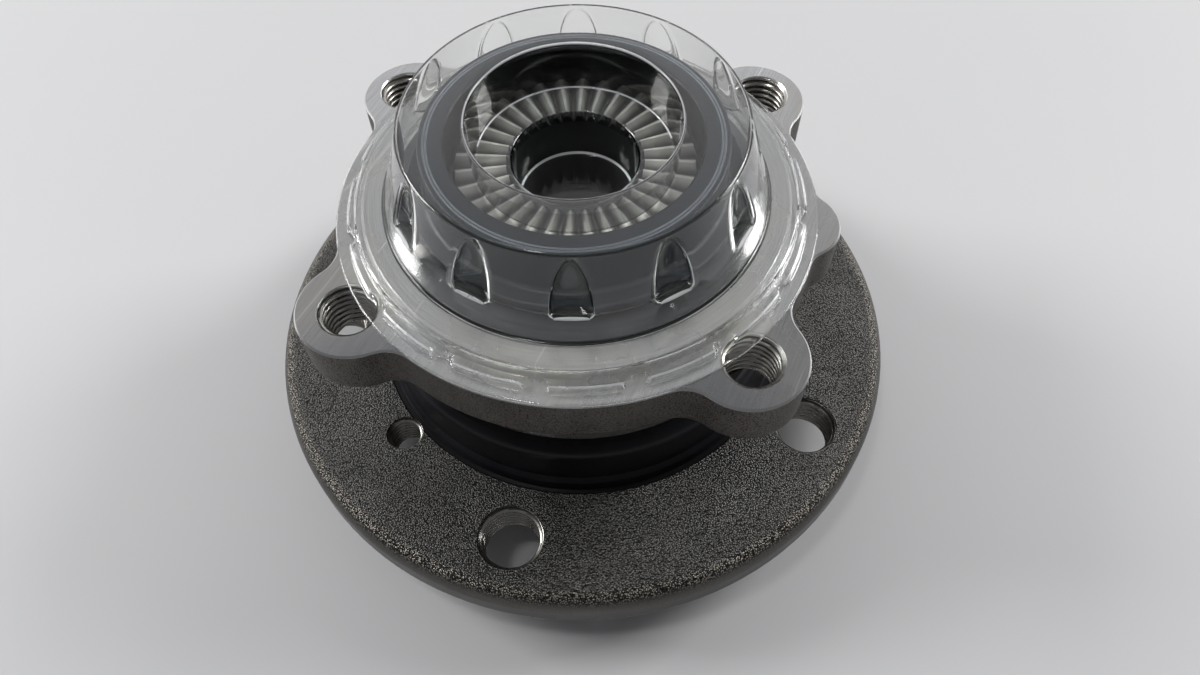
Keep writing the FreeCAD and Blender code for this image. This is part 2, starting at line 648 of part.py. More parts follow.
def cap_tools(inset):
    """Dents round the side wall and half-moon notches round the bead, for one face of the skin."""
    tools = []
    for index in range(DENT_COUNT):
        angle = DENT_FIRST_DEG + 360.0 * index / DENT_COUNT
        tools.append(dent_tool(inset).rotated(ORIGIN, AXIS, angle))
    for index in range(NOTCH_COUNT):
        angle = NOTCH_FIRST_DEG + 360.0 * index / NOTCH_COUNT
        centre = polar(NOTCH_CIRCLE_R, angle, CAP_BRIM_Z - inset)
        tools.append(Part.makeCylinder(NOTCH_R + inset, 3.0, centre))
    return Part.makeCompound(tools)


def transport_cap():
    """Clear cap: one thin skin with well, dents, bead and brim."""
    outer = cap_form(0.0).cut(cap_tools(0.0))
    inner = cap_form(CAP_WALL).cut(cap_tools(CAP_WALL))
    return outer.cut(inner)


def parts():
    """Every piece of the hub by name."""
    pieces = {
        "outer_ring": outer_ring(),
        "outboard_seal_case": outboard_seal_case(),
        "outboard_seal": outboard_seal(),
        "inboard_seal_case": inboard_seal_case(),
        "inboard_seal_lips": inboard_seal_lips(),
        "hub_flange": hub_flange(),
        "inner_ring": inner_ring(),
        "encoder_carrier": encoder_carrier(),
        "encoder_ring": encoder_ring(),
        "spline_seal": spline_seal(),
        "outboard_cage": cage(OUTBOARD_ROW_Z, 1),
        "inboard_cage": cage(INBOARD_ROW_Z, -1),
        "transport_cap": transport_cap(),
    }
    for row, row_z in (("outboard", OUTBOARD_ROW_Z), ("inboard", INBOARD_ROW_Z)):
        for index in range(BALL_COUNT):
            pieces[f"{row}_ball_{index + 1:02d}"] = ball(row_z, index)
    return pieces


def main():
    """Write one STEP file per piece."""
    os.makedirs("parts", exist_ok=True)
    for name, shape in parts().items():
        box = shape.BoundBox
        print(name, shape.ShapeType, shape.isValid(), len(shape.Solids), round(shape.Volume, 1),
              round(box.ZMin, 2), round(box.ZMax, 2))
        shape.exportStep(f"parts/{name}.step")


main()
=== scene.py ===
"""Looks of a driven wheel hub: finishes, thread cuts, clear transport cap and studio.

Lengths are in millimetres in every dataclass, and become metres where a mesh, lamp or texture is made.
The turning axis is Z, and the hub stands on its wheel side at Z = 0.
"""
import json
import logging
import math
from collections.abc import Iterator
from dataclasses import dataclass, field
from enum import Enum, IntEnum

import bmesh
import bpy
import numpy as np
from mathutils import Matrix, Vector


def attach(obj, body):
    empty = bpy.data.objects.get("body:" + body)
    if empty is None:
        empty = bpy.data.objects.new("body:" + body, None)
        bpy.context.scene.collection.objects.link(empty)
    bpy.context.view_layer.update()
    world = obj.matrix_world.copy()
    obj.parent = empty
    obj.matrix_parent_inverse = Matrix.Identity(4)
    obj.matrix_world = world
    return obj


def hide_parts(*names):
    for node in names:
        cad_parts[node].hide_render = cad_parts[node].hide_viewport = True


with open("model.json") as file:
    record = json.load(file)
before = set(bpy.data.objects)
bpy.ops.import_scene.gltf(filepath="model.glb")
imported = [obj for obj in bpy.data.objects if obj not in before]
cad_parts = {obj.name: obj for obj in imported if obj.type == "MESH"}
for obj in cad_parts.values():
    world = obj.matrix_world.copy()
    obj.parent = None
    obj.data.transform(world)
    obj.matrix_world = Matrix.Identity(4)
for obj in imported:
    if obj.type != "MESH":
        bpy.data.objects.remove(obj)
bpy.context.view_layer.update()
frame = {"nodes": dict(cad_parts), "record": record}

LOG = logging.getLogger("wheel_hub")
MM = 0.001
Color = tuple[float, float, float]
Socket = bpy.types.NodeSocket


class Body(str, Enum):
    """Moving bodies of the hub, by their names in the frame."""

    OUTER_RING = "outer_ring"
    HUB = "hub"
    OUTBOARD_CAGE = "outboard_cage"
    INBOARD_CAGE = "inboard_cage"
    CAP = "transport_cap"


class Slot(str, Enum):
    """Material slots of the record."""

    FORGED_STEEL = "forged_steel"
    GROUND_STEEL = "ground_steel"
    BEARING_STEEL = "bearing_steel"
    BALL_STEEL = "ball_steel"
    SEAL_STEEL = "seal_steel"
    BLACK_RUBBER = "black_rubber"
    MAGNET_RUBBER = "magnet_rubber"
    SEAL_RING = "seal_ring_black"
    CAGE_POLYMER = "cage_polymer"
    CLEAR_PLASTIC = "clear_plastic"


class Sheet(IntEnum):
    """Places in the clear cap's list of materials."""

    CLEAR = 0
    MILKY = 1
    DARK = 2
    SMOKY = 3


# Shader graphs


class Graph:
    """Short hand for building one node tree."""

    def __init__(self, tree: bpy.types.NodeTree) -> None:
        """Start on an empty tree.

        Args:
            tree: The node tree to fill.
        """
        self.tree = tree
        self.tree.nodes.clear()

    def node(self, kind: str, inputs: dict[str, object] | None = None, **settings: object) -> bpy.types.Node:
        """Add a node.

        Args:
            kind: Blender's name of the node type, without its ShaderNode prefix.
            inputs: Value or source socket of each named input.
            settings: Attributes to set on the node first.

        Returns:
            The new node.
        """
        made = self.tree.nodes.new(kind if kind.startswith("Node") else "ShaderNode" + kind)
        for key, value in settings.items():
            setattr(made, key, value)
        for key, value in (inputs or {}).items():
            self.feed(made.inputs[key], value)
        return made

    def feed(self, target: Socket, value: object) -> None:
        """Link a socket into an input, or set a plain value on it.

        Args:
            target: The input socket.
            value: A source socket, a number, or a tuple for a colour or vector.
        """
        if isinstance(value, bpy.types.NodeSocket):
            self.tree.links.new(value, target)
        elif target.type == "RGBA" and len(value) == 3:
            target.default_value = (*value, 1.0)
        else:
            target.default_value = value

    def math(self, operation: str, a: object, b: object = 0.0, c: object = 0.0, clamp: bool = False) -> Socket:
        """Add a Math node.

        Args:
            operation: Blender's name of the operation.
            a: First operand, a socket or a number.
            b: Second operand.
            c: Third operand.
            clamp: Whether the result stays within 0 and 1.

        Returns:
            The result socket.
        """
        made = self.tree.nodes.new("ShaderNodeMath")
        made.operation = operation
        made.use_clamp = clamp
        for target, value in zip(made.inputs, (a, b, c)):
            self.feed(target, value)
        return made.outputs[0]

    def times(self, first: object, *others: object) -> Socket:
        """Multiply sockets and numbers.

        Args:
            first: First factor.
            others: The other factors.

        Returns:
            The product socket.
        """
        for factor in others:
            first = self.math("MULTIPLY", first, factor)
        return first

    def rest(self, share: object) -> Socket:
        """What a share leaves of one, as a socket."""
        return self.math("SUBTRACT", 1.0, share)

    def ramp(self, value: object, low: object, high: object, start: float = 0.0, end: float = 1.0) -> Socket:
        """Smooth step from one level to another.

        Args:
            value: The socket that drives the step.
            low: Value at which the step starts.
            high: Value at which it ends.
            start: Result below the step.
            end: Result above the step.

        Returns:
            The result socket.
        """
        made = self.node("MapRange", {"Value": value, "From Min": low, "From Max": high,
                                      "To Min": start, "To Max": end}, interpolation_type="SMOOTHSTEP")
        return made.outputs["Result"]

    def blend(self, factor: object, a: object, b: object, mode: str = "MIX") -> Socket:
        """Mix two colours.

        Args:
            factor: Share of the second colour.
            a: First colour, a socket or three numbers.
            b: Second colour.
            mode: Blend mode.

        Returns:
            The colour socket.
        """
        made = self.tree.nodes.new("ShaderNodeMix")
        made.data_type = "RGBA"
        made.blend_type = mode
        self.feed(made.inputs[0], factor)
        self.feed(made.inputs[6], a)
        self.feed(made.inputs[7], b)
        return made.outputs[2]

    def lerp(self, factor: object, a: object, b: object) -> Socket:
        """Mix two numbers.

        Args:
            factor: Share of the second number.
            a: First number or socket.
            b: Second number or socket.

        Returns:
            The value socket.
        """
        made = self.tree.nodes.new("ShaderNodeMix")
        self.feed(made.inputs[0], factor)
        self.feed(made.inputs[2], a)
        self.feed(made.inputs[3], b)
        return made.outputs[0]

    def noise(self, vector: Socket, scale: float, detail: float = 2.0, roughness: float = 0.5) -> Socket:
        """Noise texture's value.

        Args:
            vector: Where it is read, in metres.
            scale: Waves per metre.
            detail: Octaves.
            roughness: Weight of the fine octaves.

        Returns:
            The value socket.
        """
        made = self.node("TexNoise", {"Vector": vector, "Scale": scale, "Detail": detail,
                                      "Roughness": roughness})
        return made.outputs["Fac"]


class EffectGroup:
    """One shared node group with named inputs and outputs."""

    def __init__(self, name: str, inputs: dict[str, tuple[str, object]], outputs: dict[str, str]) -> None:
        """Make the group and its interface.

        Args:
            name: Name of the group.
            inputs: Socket kind and default value of each input by name.
            outputs: Socket kind of each output by name.
        """
        self.tree = bpy.data.node_groups.new(name, "ShaderNodeTree")
        self.graph = Graph(self.tree)
        for key, (kind, default) in inputs.items():
            made = self.tree.interface.new_socket(key, in_out="INPUT", socket_type="NodeSocket" + kind)
            if kind != "Vector":
                made.default_value = default
        for key, kind in outputs.items():
            self.tree.interface.new_socket(key, in_out="OUTPUT", socket_type="NodeSocket" + kind)
        self.source = self.tree.nodes.new("NodeGroupInput").outputs
        self.sink = self.tree.nodes.new("NodeGroupOutput").inputs

    def put(self, key: str, socket: Socket) -> None:
        """Send a socket to one of the group's outputs."""
        self.tree.links.new(socket, self.sink[key])

    def use(self, graph: Graph, **inputs: object) -> dict[str, Socket]:
        """Place the group in a material.

        Args:
            graph: The material's graph.
            inputs: Value or socket of each input, with underscores for blanks.

        Returns:
            The group node's outputs by name.
        """
        node = graph.tree.nodes.new("ShaderNodeGroup")
        node.node_tree = self.tree
        for key, value in inputs.items():
            graph.feed(node.inputs[key.replace("_", " ")], value)
        return {socket.name: socket for socket in node.outputs}


class Effects:
    """The effects that more than one finish uses, each built once.

    Scales are waves or cells per metre, and a pair is where a mask starts and where it is full.
    """

    GRAIN_CELLS = 2700.0
    GRAIN_SPREAD = 0.9
    GRAIN_DRIFT_SCALE = 1300.0
    GRAIN_DRIFT = 0.0001
    GRAIN_STEEPNESS = 1.25
    GRAIN_FINE_SCALE = 1500.0
    GRAIN_FINE_SHARE = 0.15
    # GLINT and PIT_SHADE set where the grain's tops get painted glints and its pits get painted shade.
    GLINT = (0.34, 0.84)
    PIT_SHADE = (0.40, 0.10)
    TONE_SCALE = 90.0
    MARK_STRETCH = 0.02
    MARK_SCALES = (2200.0, 6500.0)
    MARK_TONE = (0.38, 0.62)
    SCRATCH_STRETCH = 0.04
    SCRATCH_SCALE = 900.0
    SCRATCH = (0.70, 0.74)
    TURNED_TONE = (0.35, 0.65)
    TURNED_WAVER = 1.5
    SMUDGE = (0.35, 0.7)

    def __init__(self) -> None:
        """Build every group."""
        self.axis = self._axis()
        self.grain = self._grain()
        self.marks = self._marks()
        self.turned = self._turned()
        self.smudge = self._smudge()

    def _axis(self) -> EffectGroup:
        """Place on the hub: radius and height in millimetres, and the angle round the axis.

        Returns:
            The group.
        """
        group = EffectGroup("Place on the hub", {"Position": ("Vector", None)},
                            {"Radius": "Float", "Height": "Float", "Angle": "Float"})
        graph = group.graph
        split = graph.node("SeparateXYZ", {"Vector": group.source["Position"]}).outputs
        across, along = (graph.times(split[side], split[side]) for side in "XY")
        radius = graph.math("SQRT", graph.math("ADD", across, along))
        group.put("Radius", graph.times(radius, 1.0 / MM))
        group.put("Height", graph.times(split["Z"], 1.0 / MM))
        group.put("Angle", graph.math("ARCTAN2", split["Y"], split["X"]))
        return group

    def _grain(self) -> EffectGroup:
        """Blasted forging skin: closely packed small bumps, with masks of their tops and pits. The finishes use the
        masks for painted glints on the tops and painted shade in the pits.

        Returns:
            The group.
        """
        group = EffectGroup("Blasted grain", {"Position": ("Vector", None), "Size": ("Float", 1.0)},
                            {"Height": "Float", "Glint": "Float", "Pit shade": "Float", "Tone": "Float"})
        graph = group.graph
        place = graph.node("VectorMath", {0: group.source["Position"]}, operation="SCALE")
        graph.feed(place.inputs["Scale"], graph.math("DIVIDE", 1.0, group.source["Size"]))
        spot = place.outputs[0]
        drift = graph.node("TexNoise", {"Vector": spot, "Scale": self.GRAIN_DRIFT_SCALE,
                                        "Detail": 1.0}).outputs["Color"]
        off = graph.node("VectorMath", {0: drift, "Scale": self.GRAIN_DRIFT}, operation="SCALE").outputs[0]
        moved = graph.node("VectorMath", {0: spot, 1: off}, operation="ADD").outputs[0]
        cells = graph.node("TexVoronoi", {"Vector": moved, "Scale": self.GRAIN_CELLS,
                                          "Randomness": self.GRAIN_SPREAD})
        slope = graph.times(cells.outputs["Distance"], self.GRAIN_STEEPNESS)
        bumps = graph.math("SUBTRACT", 1.0, slope, clamp=True)
        fine = graph.noise(spot, self.GRAIN_FINE_SCALE, 2.0, 0.6)
        height = graph.math("ADD", graph.times(bumps, 1.0 - self.GRAIN_FINE_SHARE),
                            graph.times(fine, self.GRAIN_FINE_SHARE))
        group.put("Height", height)
        group.put("Glint", graph.ramp(height, *self.GLINT))
        group.put("Pit shade", graph.ramp(height, *self.PIT_SHADE))
        group.put("Tone", graph.noise(spot, self.TONE_SCALE, 3.0, 0.55))
        return group

    def _marks(self) -> EffectGroup:
        """Straight grinding marks along one direction of the XY plane.

        Returns:
            The group.
        """
        group = EffectGroup("Grinding marks", {"Position": ("Vector", None), "Direction": ("Float", 0.0)},
                            {"Height": "Float", "Tone": "Float", "Scratch": "Float"})
        graph = group.graph
        turn = graph.node("VectorRotate", {"Vector": group.source["Position"],
                                           "Angle": group.source["Direction"]}, rotation_type="Z_AXIS")
        thin = (self.MARK_STRETCH, 1.0, self.MARK_STRETCH)
        stretch = graph.node("VectorMath", {0: turn.outputs[0], 1: thin}, operation="MULTIPLY")
        broad = graph.noise(stretch.outputs[0], self.MARK_SCALES[0], 3.0, 0.7)
        narrow = graph.noise(stretch.outputs[0], self.MARK_SCALES[1], 2.0, 0.6)
        lines = graph.math("ADD", graph.times(broad, 0.5), graph.times(narrow, 0.5))
        group.put("Height", lines)
        group.put("Tone", graph.ramp(lines, *self.MARK_TONE))
        thin = (self.SCRATCH_STRETCH, 1.0, self.SCRATCH_STRETCH)
        long = graph.node("VectorMath", {0: turn.outputs[0], 1: thin}, operation="MULTIPLY")
        scratch = graph.noise(long.outputs[0], self.SCRATCH_SCALE, 1.0, 0.4)
        group.put("Scratch", graph.ramp(scratch, *self.SCRATCH))
        return group

    def _turned(self) -> EffectGroup:
        """Concentric tool marks round the hub's axis.

        Returns:
            The group.
        """
        group = EffectGroup("Turning marks", {"Radius": ("Float", 1.0), "Height": ("Float", 0.0),
                                              "Angle": ("Float", 0.0), "Pitch": ("Float", 0.2)},
                            {"Height": "Float", "Tone": "Float"})
        graph = group.graph
        step = graph.math("DIVIDE", 1.0, group.source["Pitch"])
        place = graph.node("CombineXYZ", {
            "X": graph.times(group.source["Radius"], step),
            "Y": graph.times(group.source["Height"], step),
            "Z": graph.times(group.source["Angle"], self.TURNED_WAVER),
        }).outputs[0]
        lines = graph.noise(place, 1.0, 2.0, 0.6)
        group.put("Height", lines)
        group.put("Tone", graph.ramp(lines, *self.TURNED_TONE))
        return group

    def _smudge(self) -> EffectGroup:
        """Uneven oil film and handling, as a soft mask.

        Returns:
            The group.
        """
        group = EffectGroup("Oil and handling", {"Position": ("Vector", None), "Size": ("Float", 20.0)},
                            {"Mask": "Float"})
        graph = group.graph
        place = graph.node("VectorMath", {0: group.source["Position"]}, operation="SCALE")
        graph.feed(place.inputs["Scale"], graph.math("DIVIDE", 1.0 / MM, group.source["Size"]))
        group.put("Mask", graph.ramp(graph.noise(place.outputs[0], 1.0, 4.0, 0.55), *self.SMUDGE))
        return group


def toned(color: Color, level: float) -> Color:
    """A colour made darker, or lighter where the level is over 1."""
    return tuple(level * part for part in color)


@dataclass(frozen=True)
class Finish:
    """One surface finish with a plain base, which the others build on."""

    name: str
    color: Color
    roughness: float
    metallic: float = 0.0
    specular: float = 0.5

    def start(self) -> tuple[bpy.types.Material, Graph, bpy.types.Node]:
        """Make the material with its Principled shader.

        Returns:
            The material, its graph and the Principled node.
        """
        material = bpy.data.materials.new(self.name)
        material.use_nodes = True
        graph = Graph(material.node_tree)
        shader = graph.node("BsdfPrincipled", {"Base Color": self.color, "Roughness": self.roughness,
                                               "Metallic": self.metallic,
                                               "Specular IOR Level": self.specular})
        graph.node("OutputMaterial", {"Surface": shader.outputs[0]})
        return material, graph, shader

    def place(self, graph: Graph, effects: Effects) -> tuple[Socket, dict[str, Socket]]:
        """Object position and place on the hub.

        Args:
            graph: The material's graph.
            effects: The shared groups.

        Returns:
            The position socket, and radius, height and angle sockets.
        """
        spot = graph.node("TexCoord").outputs["Object"]
        return spot, effects.axis.use(graph, Position=spot)

    def bump(self, graph: Graph, shader: bpy.types.Node, height: Socket, depth: float,
             strength: float = 1.0) -> None:
        """Feed a height into the shader's normal.

        Args:
            graph: The material's graph.
            shader: The Principled node.
            height: Height between 0 and 1.
            depth: Height of 1 in millimetres.
            strength: Share of the effect.
        """
        made = graph.node("Bump", {"Height": height, "Distance": depth * MM, "Strength": strength})
        graph.feed(shader.inputs["Normal"], made.outputs[0])

    def cover(self, graph: Graph, shader: bpy.types.Node, share: Socket, other: bpy.types.Node) -> None:
        """Mix another shader over the Principled one.

        Args:
            graph: The material's graph.
            shader: The Principled node.
            share: Share of the other shader.
            other: The other shader's node.
        """
        both = graph.node("MixShader", {0: share, 1: shader.outputs[0], 2: other.outputs[0]})
        out = next(node for node in graph.tree.nodes if node.type == "OUTPUT_MATERIAL")
        graph.feed(out.inputs["Surface"], both.outputs[0])


@dataclass(frozen=True)
class ForgedFinish(Finish):
    """Blasted forging of the wheel flange, with its machined faces and worn rim."""

    machined: Color = (0.42, 0.41, 0.40)
    # The next two colours are painted shade in the grain's pits and painted glints on its tops.
    pit_shade: Color = (0.006, 0.006, 0.006)
    crest: Color = (0.20, 0.193, 0.183)
    worn: Color = (0.46, 0.42, 0.35)
    side: Color = (0.11, 0.105, 0.098)
    # Painted shade for the bore and for the teeth next to it.
    bore_shade_color: Color = (0.045, 0.045, 0.048)
    tone: tuple[float, float] = (0.3, 0.7)
    pit_shade_share: float = 0.85
    crest_glint_share: float = 0.8
    side_share: float = 0.8
    wear_tops: tuple[float, float] = (0.46, 0.66)
    wear_share: float = 0.8
    rim_smoothness: float = 0.75
    tool_pitch: float = 0.25
    tool_contrast: float = 0.35
    tool_depth: float = 0.15
    oil_size: float = 26.0
    oil_dulling: float = 0.12
    ground_roughness: float = 0.3
    bore_radius: float = 13.9
    teeth_shade_radius: float = 16.5
    rim_radius: float = 73.3
    rim_height: float = 22.0
    face_height: float = 12.4
    track_radius: float = 48.6
    # Painted shade on the seal track under the outer ring.
    track_shade_color: Color = (0.03, 0.03, 0.032)
    teeth_outer_shade_radius: float = 19.8
    teeth_low: float = 72.9
    teeth_high: float = 74.5
    # Painted shade in the teeth's valleys and painted highlight on their tops.
    valley_shade: Color = (0.12, 0.118, 0.11)
    land: Color = (0.60, 0.59, 0.56)
    grain_depth: float = 0.16

    def build(self, effects: Effects) -> bpy.types.Material:
        """Make the material.

        Args:
            effects: The shared groups.

        Returns:
            The material.
        """
        material, graph, shader = self.start()
        spot, at = self.place(graph, effects)
        grain = effects.grain.use(graph, Position=spot, Size=1.0)
        oil = effects.smudge.use(graph, Position=spot, Size=self.oil_size)["Mask"]
        turned = effects.turned.use(graph, Pitch=self.tool_pitch, **at)
        low = graph.ramp(at["Height"], self.face_height + 1.2, self.face_height + 1.6, 1.0, 0.0)
        track = graph.ramp(at["Radius"], self.track_radius - 0.4, self.track_radius, 1.0, 0.0)
        ground = graph.math("MAXIMUM", low, track)
        outer = graph.ramp(at["Radius"], self.rim_radius - 1.7, self.rim_radius - 0.5)
        rough_skin = graph.rest(graph.times(outer, self.rim_smoothness))
        rim = graph.ramp(at["Radius"], self.rim_radius - 3.8, self.rim_radius - 2.4)
        rim = graph.times(rim, graph.rest(outer))
        skin = graph.blend(graph.ramp(grain["Tone"], *self.tone), self.color, toned(self.color, 1.5))
        # Painted shade in the grain's pits and painted glints on its tops.
        skin = graph.blend(graph.times(grain["Pit shade"], self.pit_shade_share), skin, self.pit_shade)
        skin = graph.blend(graph.times(grain["Glint"], self.crest_glint_share), skin, self.crest)
        skin = graph.blend(graph.times(outer, self.side_share), skin, self.side)
        wear = graph.times(rim, graph.ramp(grain["Height"], *self.wear_tops))
        skin = graph.blend(graph.times(wear, self.wear_share), skin, self.worn)
        metal = graph.blend(graph.times(turned["Tone"], self.tool_contrast), self.machined,
                            toned(self.machined, 0.6))
        # Painted shade on the machined seal track under the outer ring.
        under_ring_shade = graph.ramp(at["Height"], self.rim_height + 1.0, self.rim_height + 4.0, 1.0, 0.0)
        under_ring_shade = graph.times(under_ring_shade, graph.rest(low))
        metal = graph.blend(under_ring_shade, metal, self.track_shade_color)
        # Painted shade in the teeth's valleys and painted highlight on their tops.
        teeth = graph.blend(graph.ramp(at["Height"], self.teeth_low, self.teeth_high), self.valley_shade, self.land)
        metal = graph.blend(graph.ramp(at["Height"], self.teeth_low - 0.6, self.teeth_low - 0.4), metal, teeth)
        # Painted shade: the teeth darken next to the bore and towards their outer ends, and the bore itself is
        # painted dark.
        inner = graph.ramp(at["Radius"], self.bore_radius, self.teeth_shade_radius, 0.35, 0.0)
        outer_teeth_shade = graph.ramp(at["Radius"], self.teeth_outer_shade_radius, self.teeth_outer_shade_radius + 0.8, 0.0, 0.5)
        metal = graph.blend(graph.math("MAXIMUM", inner, outer_teeth_shade), metal, self.bore_shade_color)
        bore = graph.ramp(at["Radius"], self.bore_radius - 0.2, self.bore_radius, 1.0, 0.0)
        metal = graph.blend(bore, metal, self.bore_shade_color)
        graph.feed(shader.inputs["Base Color"], graph.blend(ground, skin, metal))
        rough = graph.lerp(oil, self.roughness, self.roughness + self.oil_dulling)
        graph.feed(shader.inputs["Roughness"], graph.lerp(ground, rough, self.ground_roughness))
        bumps = graph.times(grain["Height"], graph.rest(ground), rough_skin)
        ridges = graph.times(turned["Height"], self.tool_depth, ground)
        self.bump(graph, shader, graph.math("ADD", bumps, ridges), self.grain_depth)
        return material


@dataclass(frozen=True)
class KnuckleFinish(Finish):
    """Outer ring: ground face and pilot, forged sides, and bevels lightened by a painted highlight."""

    forged: Color = (0.085, 0.078, 0.07)
    tinge: Color = (0.34, 0.30, 0.24)
    scratch_color: Color = (0.7, 0.7, 0.7)
    bevel_highlight_color: Color = (0.62, 0.62, 0.61)
    # The next two colours are painted shade in the grain's pits and painted glints on its tops.
    pit_shade: Color = (0.012, 0.011, 0.01)
    crest: Color = (0.24, 0.22, 0.2)
    tone: tuple[float, float] = (0.3, 0.7)
    pit_shade_share: float = 0.7
    crest_glint_share: float = 0.5
    mark_contrast: float = 0.4
    mark_depth: float = 0.14
    scratch_share: float = 0.5
    tinge_share: float = 0.35
    tool_pitch: float = 0.18
    oil_size: float = 30.0
    oil_dulling: float = 0.1
    forged_roughness: float = 0.5
    grain_size: float = 0.8
    grain_depth: float = 0.1
    face_height: float = 62.9
    bevel: float = 0.35
    bore_radius: float = 43.6
    mark_direction: float = math.radians(-62.0)

    def build(self, effects: Effects) -> bpy.types.Material:
        """Make the material.

        Args:
            effects: The shared groups.

        Returns:
            The material.
        """
        material, graph, shader = self.start()
        spot, at = self.place(graph, effects)
        grain = effects.grain.use(graph, Position=spot, Size=self.grain_size)
        marks = effects.marks.use(graph, Position=spot, Direction=self.mark_direction)
        turned = effects.turned.use(graph, Pitch=self.tool_pitch, **at)
        oil = effects.smudge.use(graph, Position=spot, Size=self.oil_size)["Mask"]
        top = graph.ramp(at["Height"], self.face_height - self.bevel - 0.05, self.face_height - self.bevel + 0.02)
        inside = graph.ramp(at["Radius"], self.bore_radius + 0.4, self.bore_radius + 0.9, 1.0, 0.0)
        ground = graph.math("MAXIMUM", top, inside)
        # Painted highlight on the narrow bevel at the top of the ground face.
        bevel = graph.times(top, graph.ramp(at["Height"], self.face_height - 0.06, self.face_height - 0.02,
                                            1.0, 0.0))
        lines = graph.lerp(inside, marks["Tone"], turned["Tone"])
        steel = graph.blend(graph.times(lines, self.mark_contrast), self.color, toned(self.color, 0.6))
        steel = graph.blend(graph.times(marks["Scratch"], self.scratch_share), steel, self.scratch_color)
        steel = graph.blend(graph.times(oil, self.tinge_share), steel, self.tinge)
        steel = graph.blend(bevel, steel, self.bevel_highlight_color)
        skin = graph.blend(graph.ramp(grain["Tone"], *self.tone), self.forged, toned(self.forged, 1.4))
        # Painted shade in the grain's pits and painted glints on its tops.
        skin = graph.blend(graph.times(grain["Pit shade"], self.pit_shade_share), skin, self.pit_shade)
        skin = graph.blend(graph.times(grain["Glint"], self.crest_glint_share), skin, self.crest)
        graph.feed(shader.inputs["Base Color"], graph.blend(ground, skin, steel))
        smooth = graph.lerp(oil, self.roughness, self.roughness + self.oil_dulling)
        graph.feed(shader.inputs["Roughness"], graph.lerp(ground, self.forged_roughness, smooth))
        bumps = graph.times(grain["Height"], graph.rest(ground))
        lines = graph.lerp(inside, marks["Height"], turned["Height"])
        lines = graph.times(lines, self.mark_depth, ground)
        self.bump(graph, shader, graph.math("ADD", bumps, lines), self.grain_depth)
        return material


@dataclass(frozen=True)
class TurnedFinish(Finish):
    """Turned or ground round part with concentric tool marks."""

    pitch: float = 0.2
    depth: float = 0.006
    contrast: float = 0.2
    oil_size: float = 14.0
    oil_dulling: float = 0.08

    def build(self, effects: Effects) -> bpy.types.Material:
        """Make the material.

        Args:
            effects: The shared groups.

        Returns:
            The material.
        """
        material, graph, shader = self.start()
        spot, at = self.place(graph, effects)
        turned = effects.turned.use(graph, Pitch=self.pitch, **at)
        oil = effects.smudge.use(graph, Position=spot, Size=self.oil_size)["Mask"]
        tone = graph.times(turned["Tone"], self.contrast)
        graph.feed(shader.inputs["Base Color"], graph.blend(tone, self.color, toned(self.color, 0.6)))
        rough = graph.lerp(oil, self.roughness, self.roughness + self.oil_dulling)
        graph.feed(shader.inputs["Roughness"], rough)
        self.bump(graph, shader, turned["Height"], self.depth)
        return material


@dataclass(frozen=True)
class MouldedFinish(Finish):
    """Moulded rubber or plastic with a faint grain and uneven sheen."""

    grain_size: float = 0.5
    depth: float = 0.012
    dust: float = 0.06
    dust_color: Color = (0.35, 0.36, 0.38)
    film_size: float = 18.0
    film_dulling: float = 0.1

    def build(self, effects: Effects) -> bpy.types.Material:
        """Make the material.

        Args:
            effects: The shared groups.

        Returns:
            The material.
        """
        material, graph, shader = self.start()
        spot, _ = self.place(graph, effects)
        grain = effects.grain.use(graph, Position=spot, Size=self.grain_size)
        film = effects.smudge.use(graph, Position=spot, Size=self.film_size)["Mask"]
        color = graph.blend(graph.times(film, self.dust), self.color, self.dust_color)
        graph.feed(shader.inputs["Base Color"], color)
        rough = graph.lerp(film, self.roughness, self.roughness + self.film_dulling)
        graph.feed(shader.inputs["Roughness"], rough)
        self.bump(graph, shader, grain["Height"], self.depth)
        return material


@dataclass(frozen=True)
class SealRingFinish(Finish):
    """Smooth slate moulding with two fine turned lines on its top, drawn lighter as a painted highlight, and painted
    shade down its bore.
    """

    lines_r: tuple[float, ...] = (28.5, 29.1)
    line_half: float = 0.26
    line_highlight_color: Color = (0.14, 0.15, 0.17)
    # Painted shade down the bore, inside radius bore_r.
    bore_r: float = 25.9
    bore_shade_color: Color = (0.003, 0.003, 0.0035)
    film_size: float = 12.0
    film_share: float = 0.25
    film_dulling: float = 0.08

    def build(self, effects: Effects) -> bpy.types.Material:
        """Make the material.

        Args:
            effects: The shared groups.

        Returns:
            The material.
        """
        material, graph, shader = self.start()
        spot, at = self.place(graph, effects)
        film = effects.smudge.use(graph, Position=spot, Size=self.film_size)["Mask"]
        color = graph.blend(graph.times(film, self.film_share), self.color, toned(self.color, 1.8))
        # Painted highlight along the two fine grooves.
        for line in self.lines_r:
            off = graph.math("ABSOLUTE", graph.math("SUBTRACT", at["Radius"], line))
            color = graph.blend(graph.ramp(off, self.line_half, 0.4 * self.line_half), color, self.line_highlight_color)
        # Painted shade down the seal's bore.
        inside = graph.ramp(at["Radius"], self.bore_r - 0.5, self.bore_r, 1.0, 0.0)
        graph.feed(shader.inputs["Base Color"], graph.blend(inside, color, self.bore_shade_color))
        rough = graph.lerp(film, self.roughness, self.roughness + self.film_dulling)
        graph.feed(shader.inputs["Roughness"], rough)
        return material


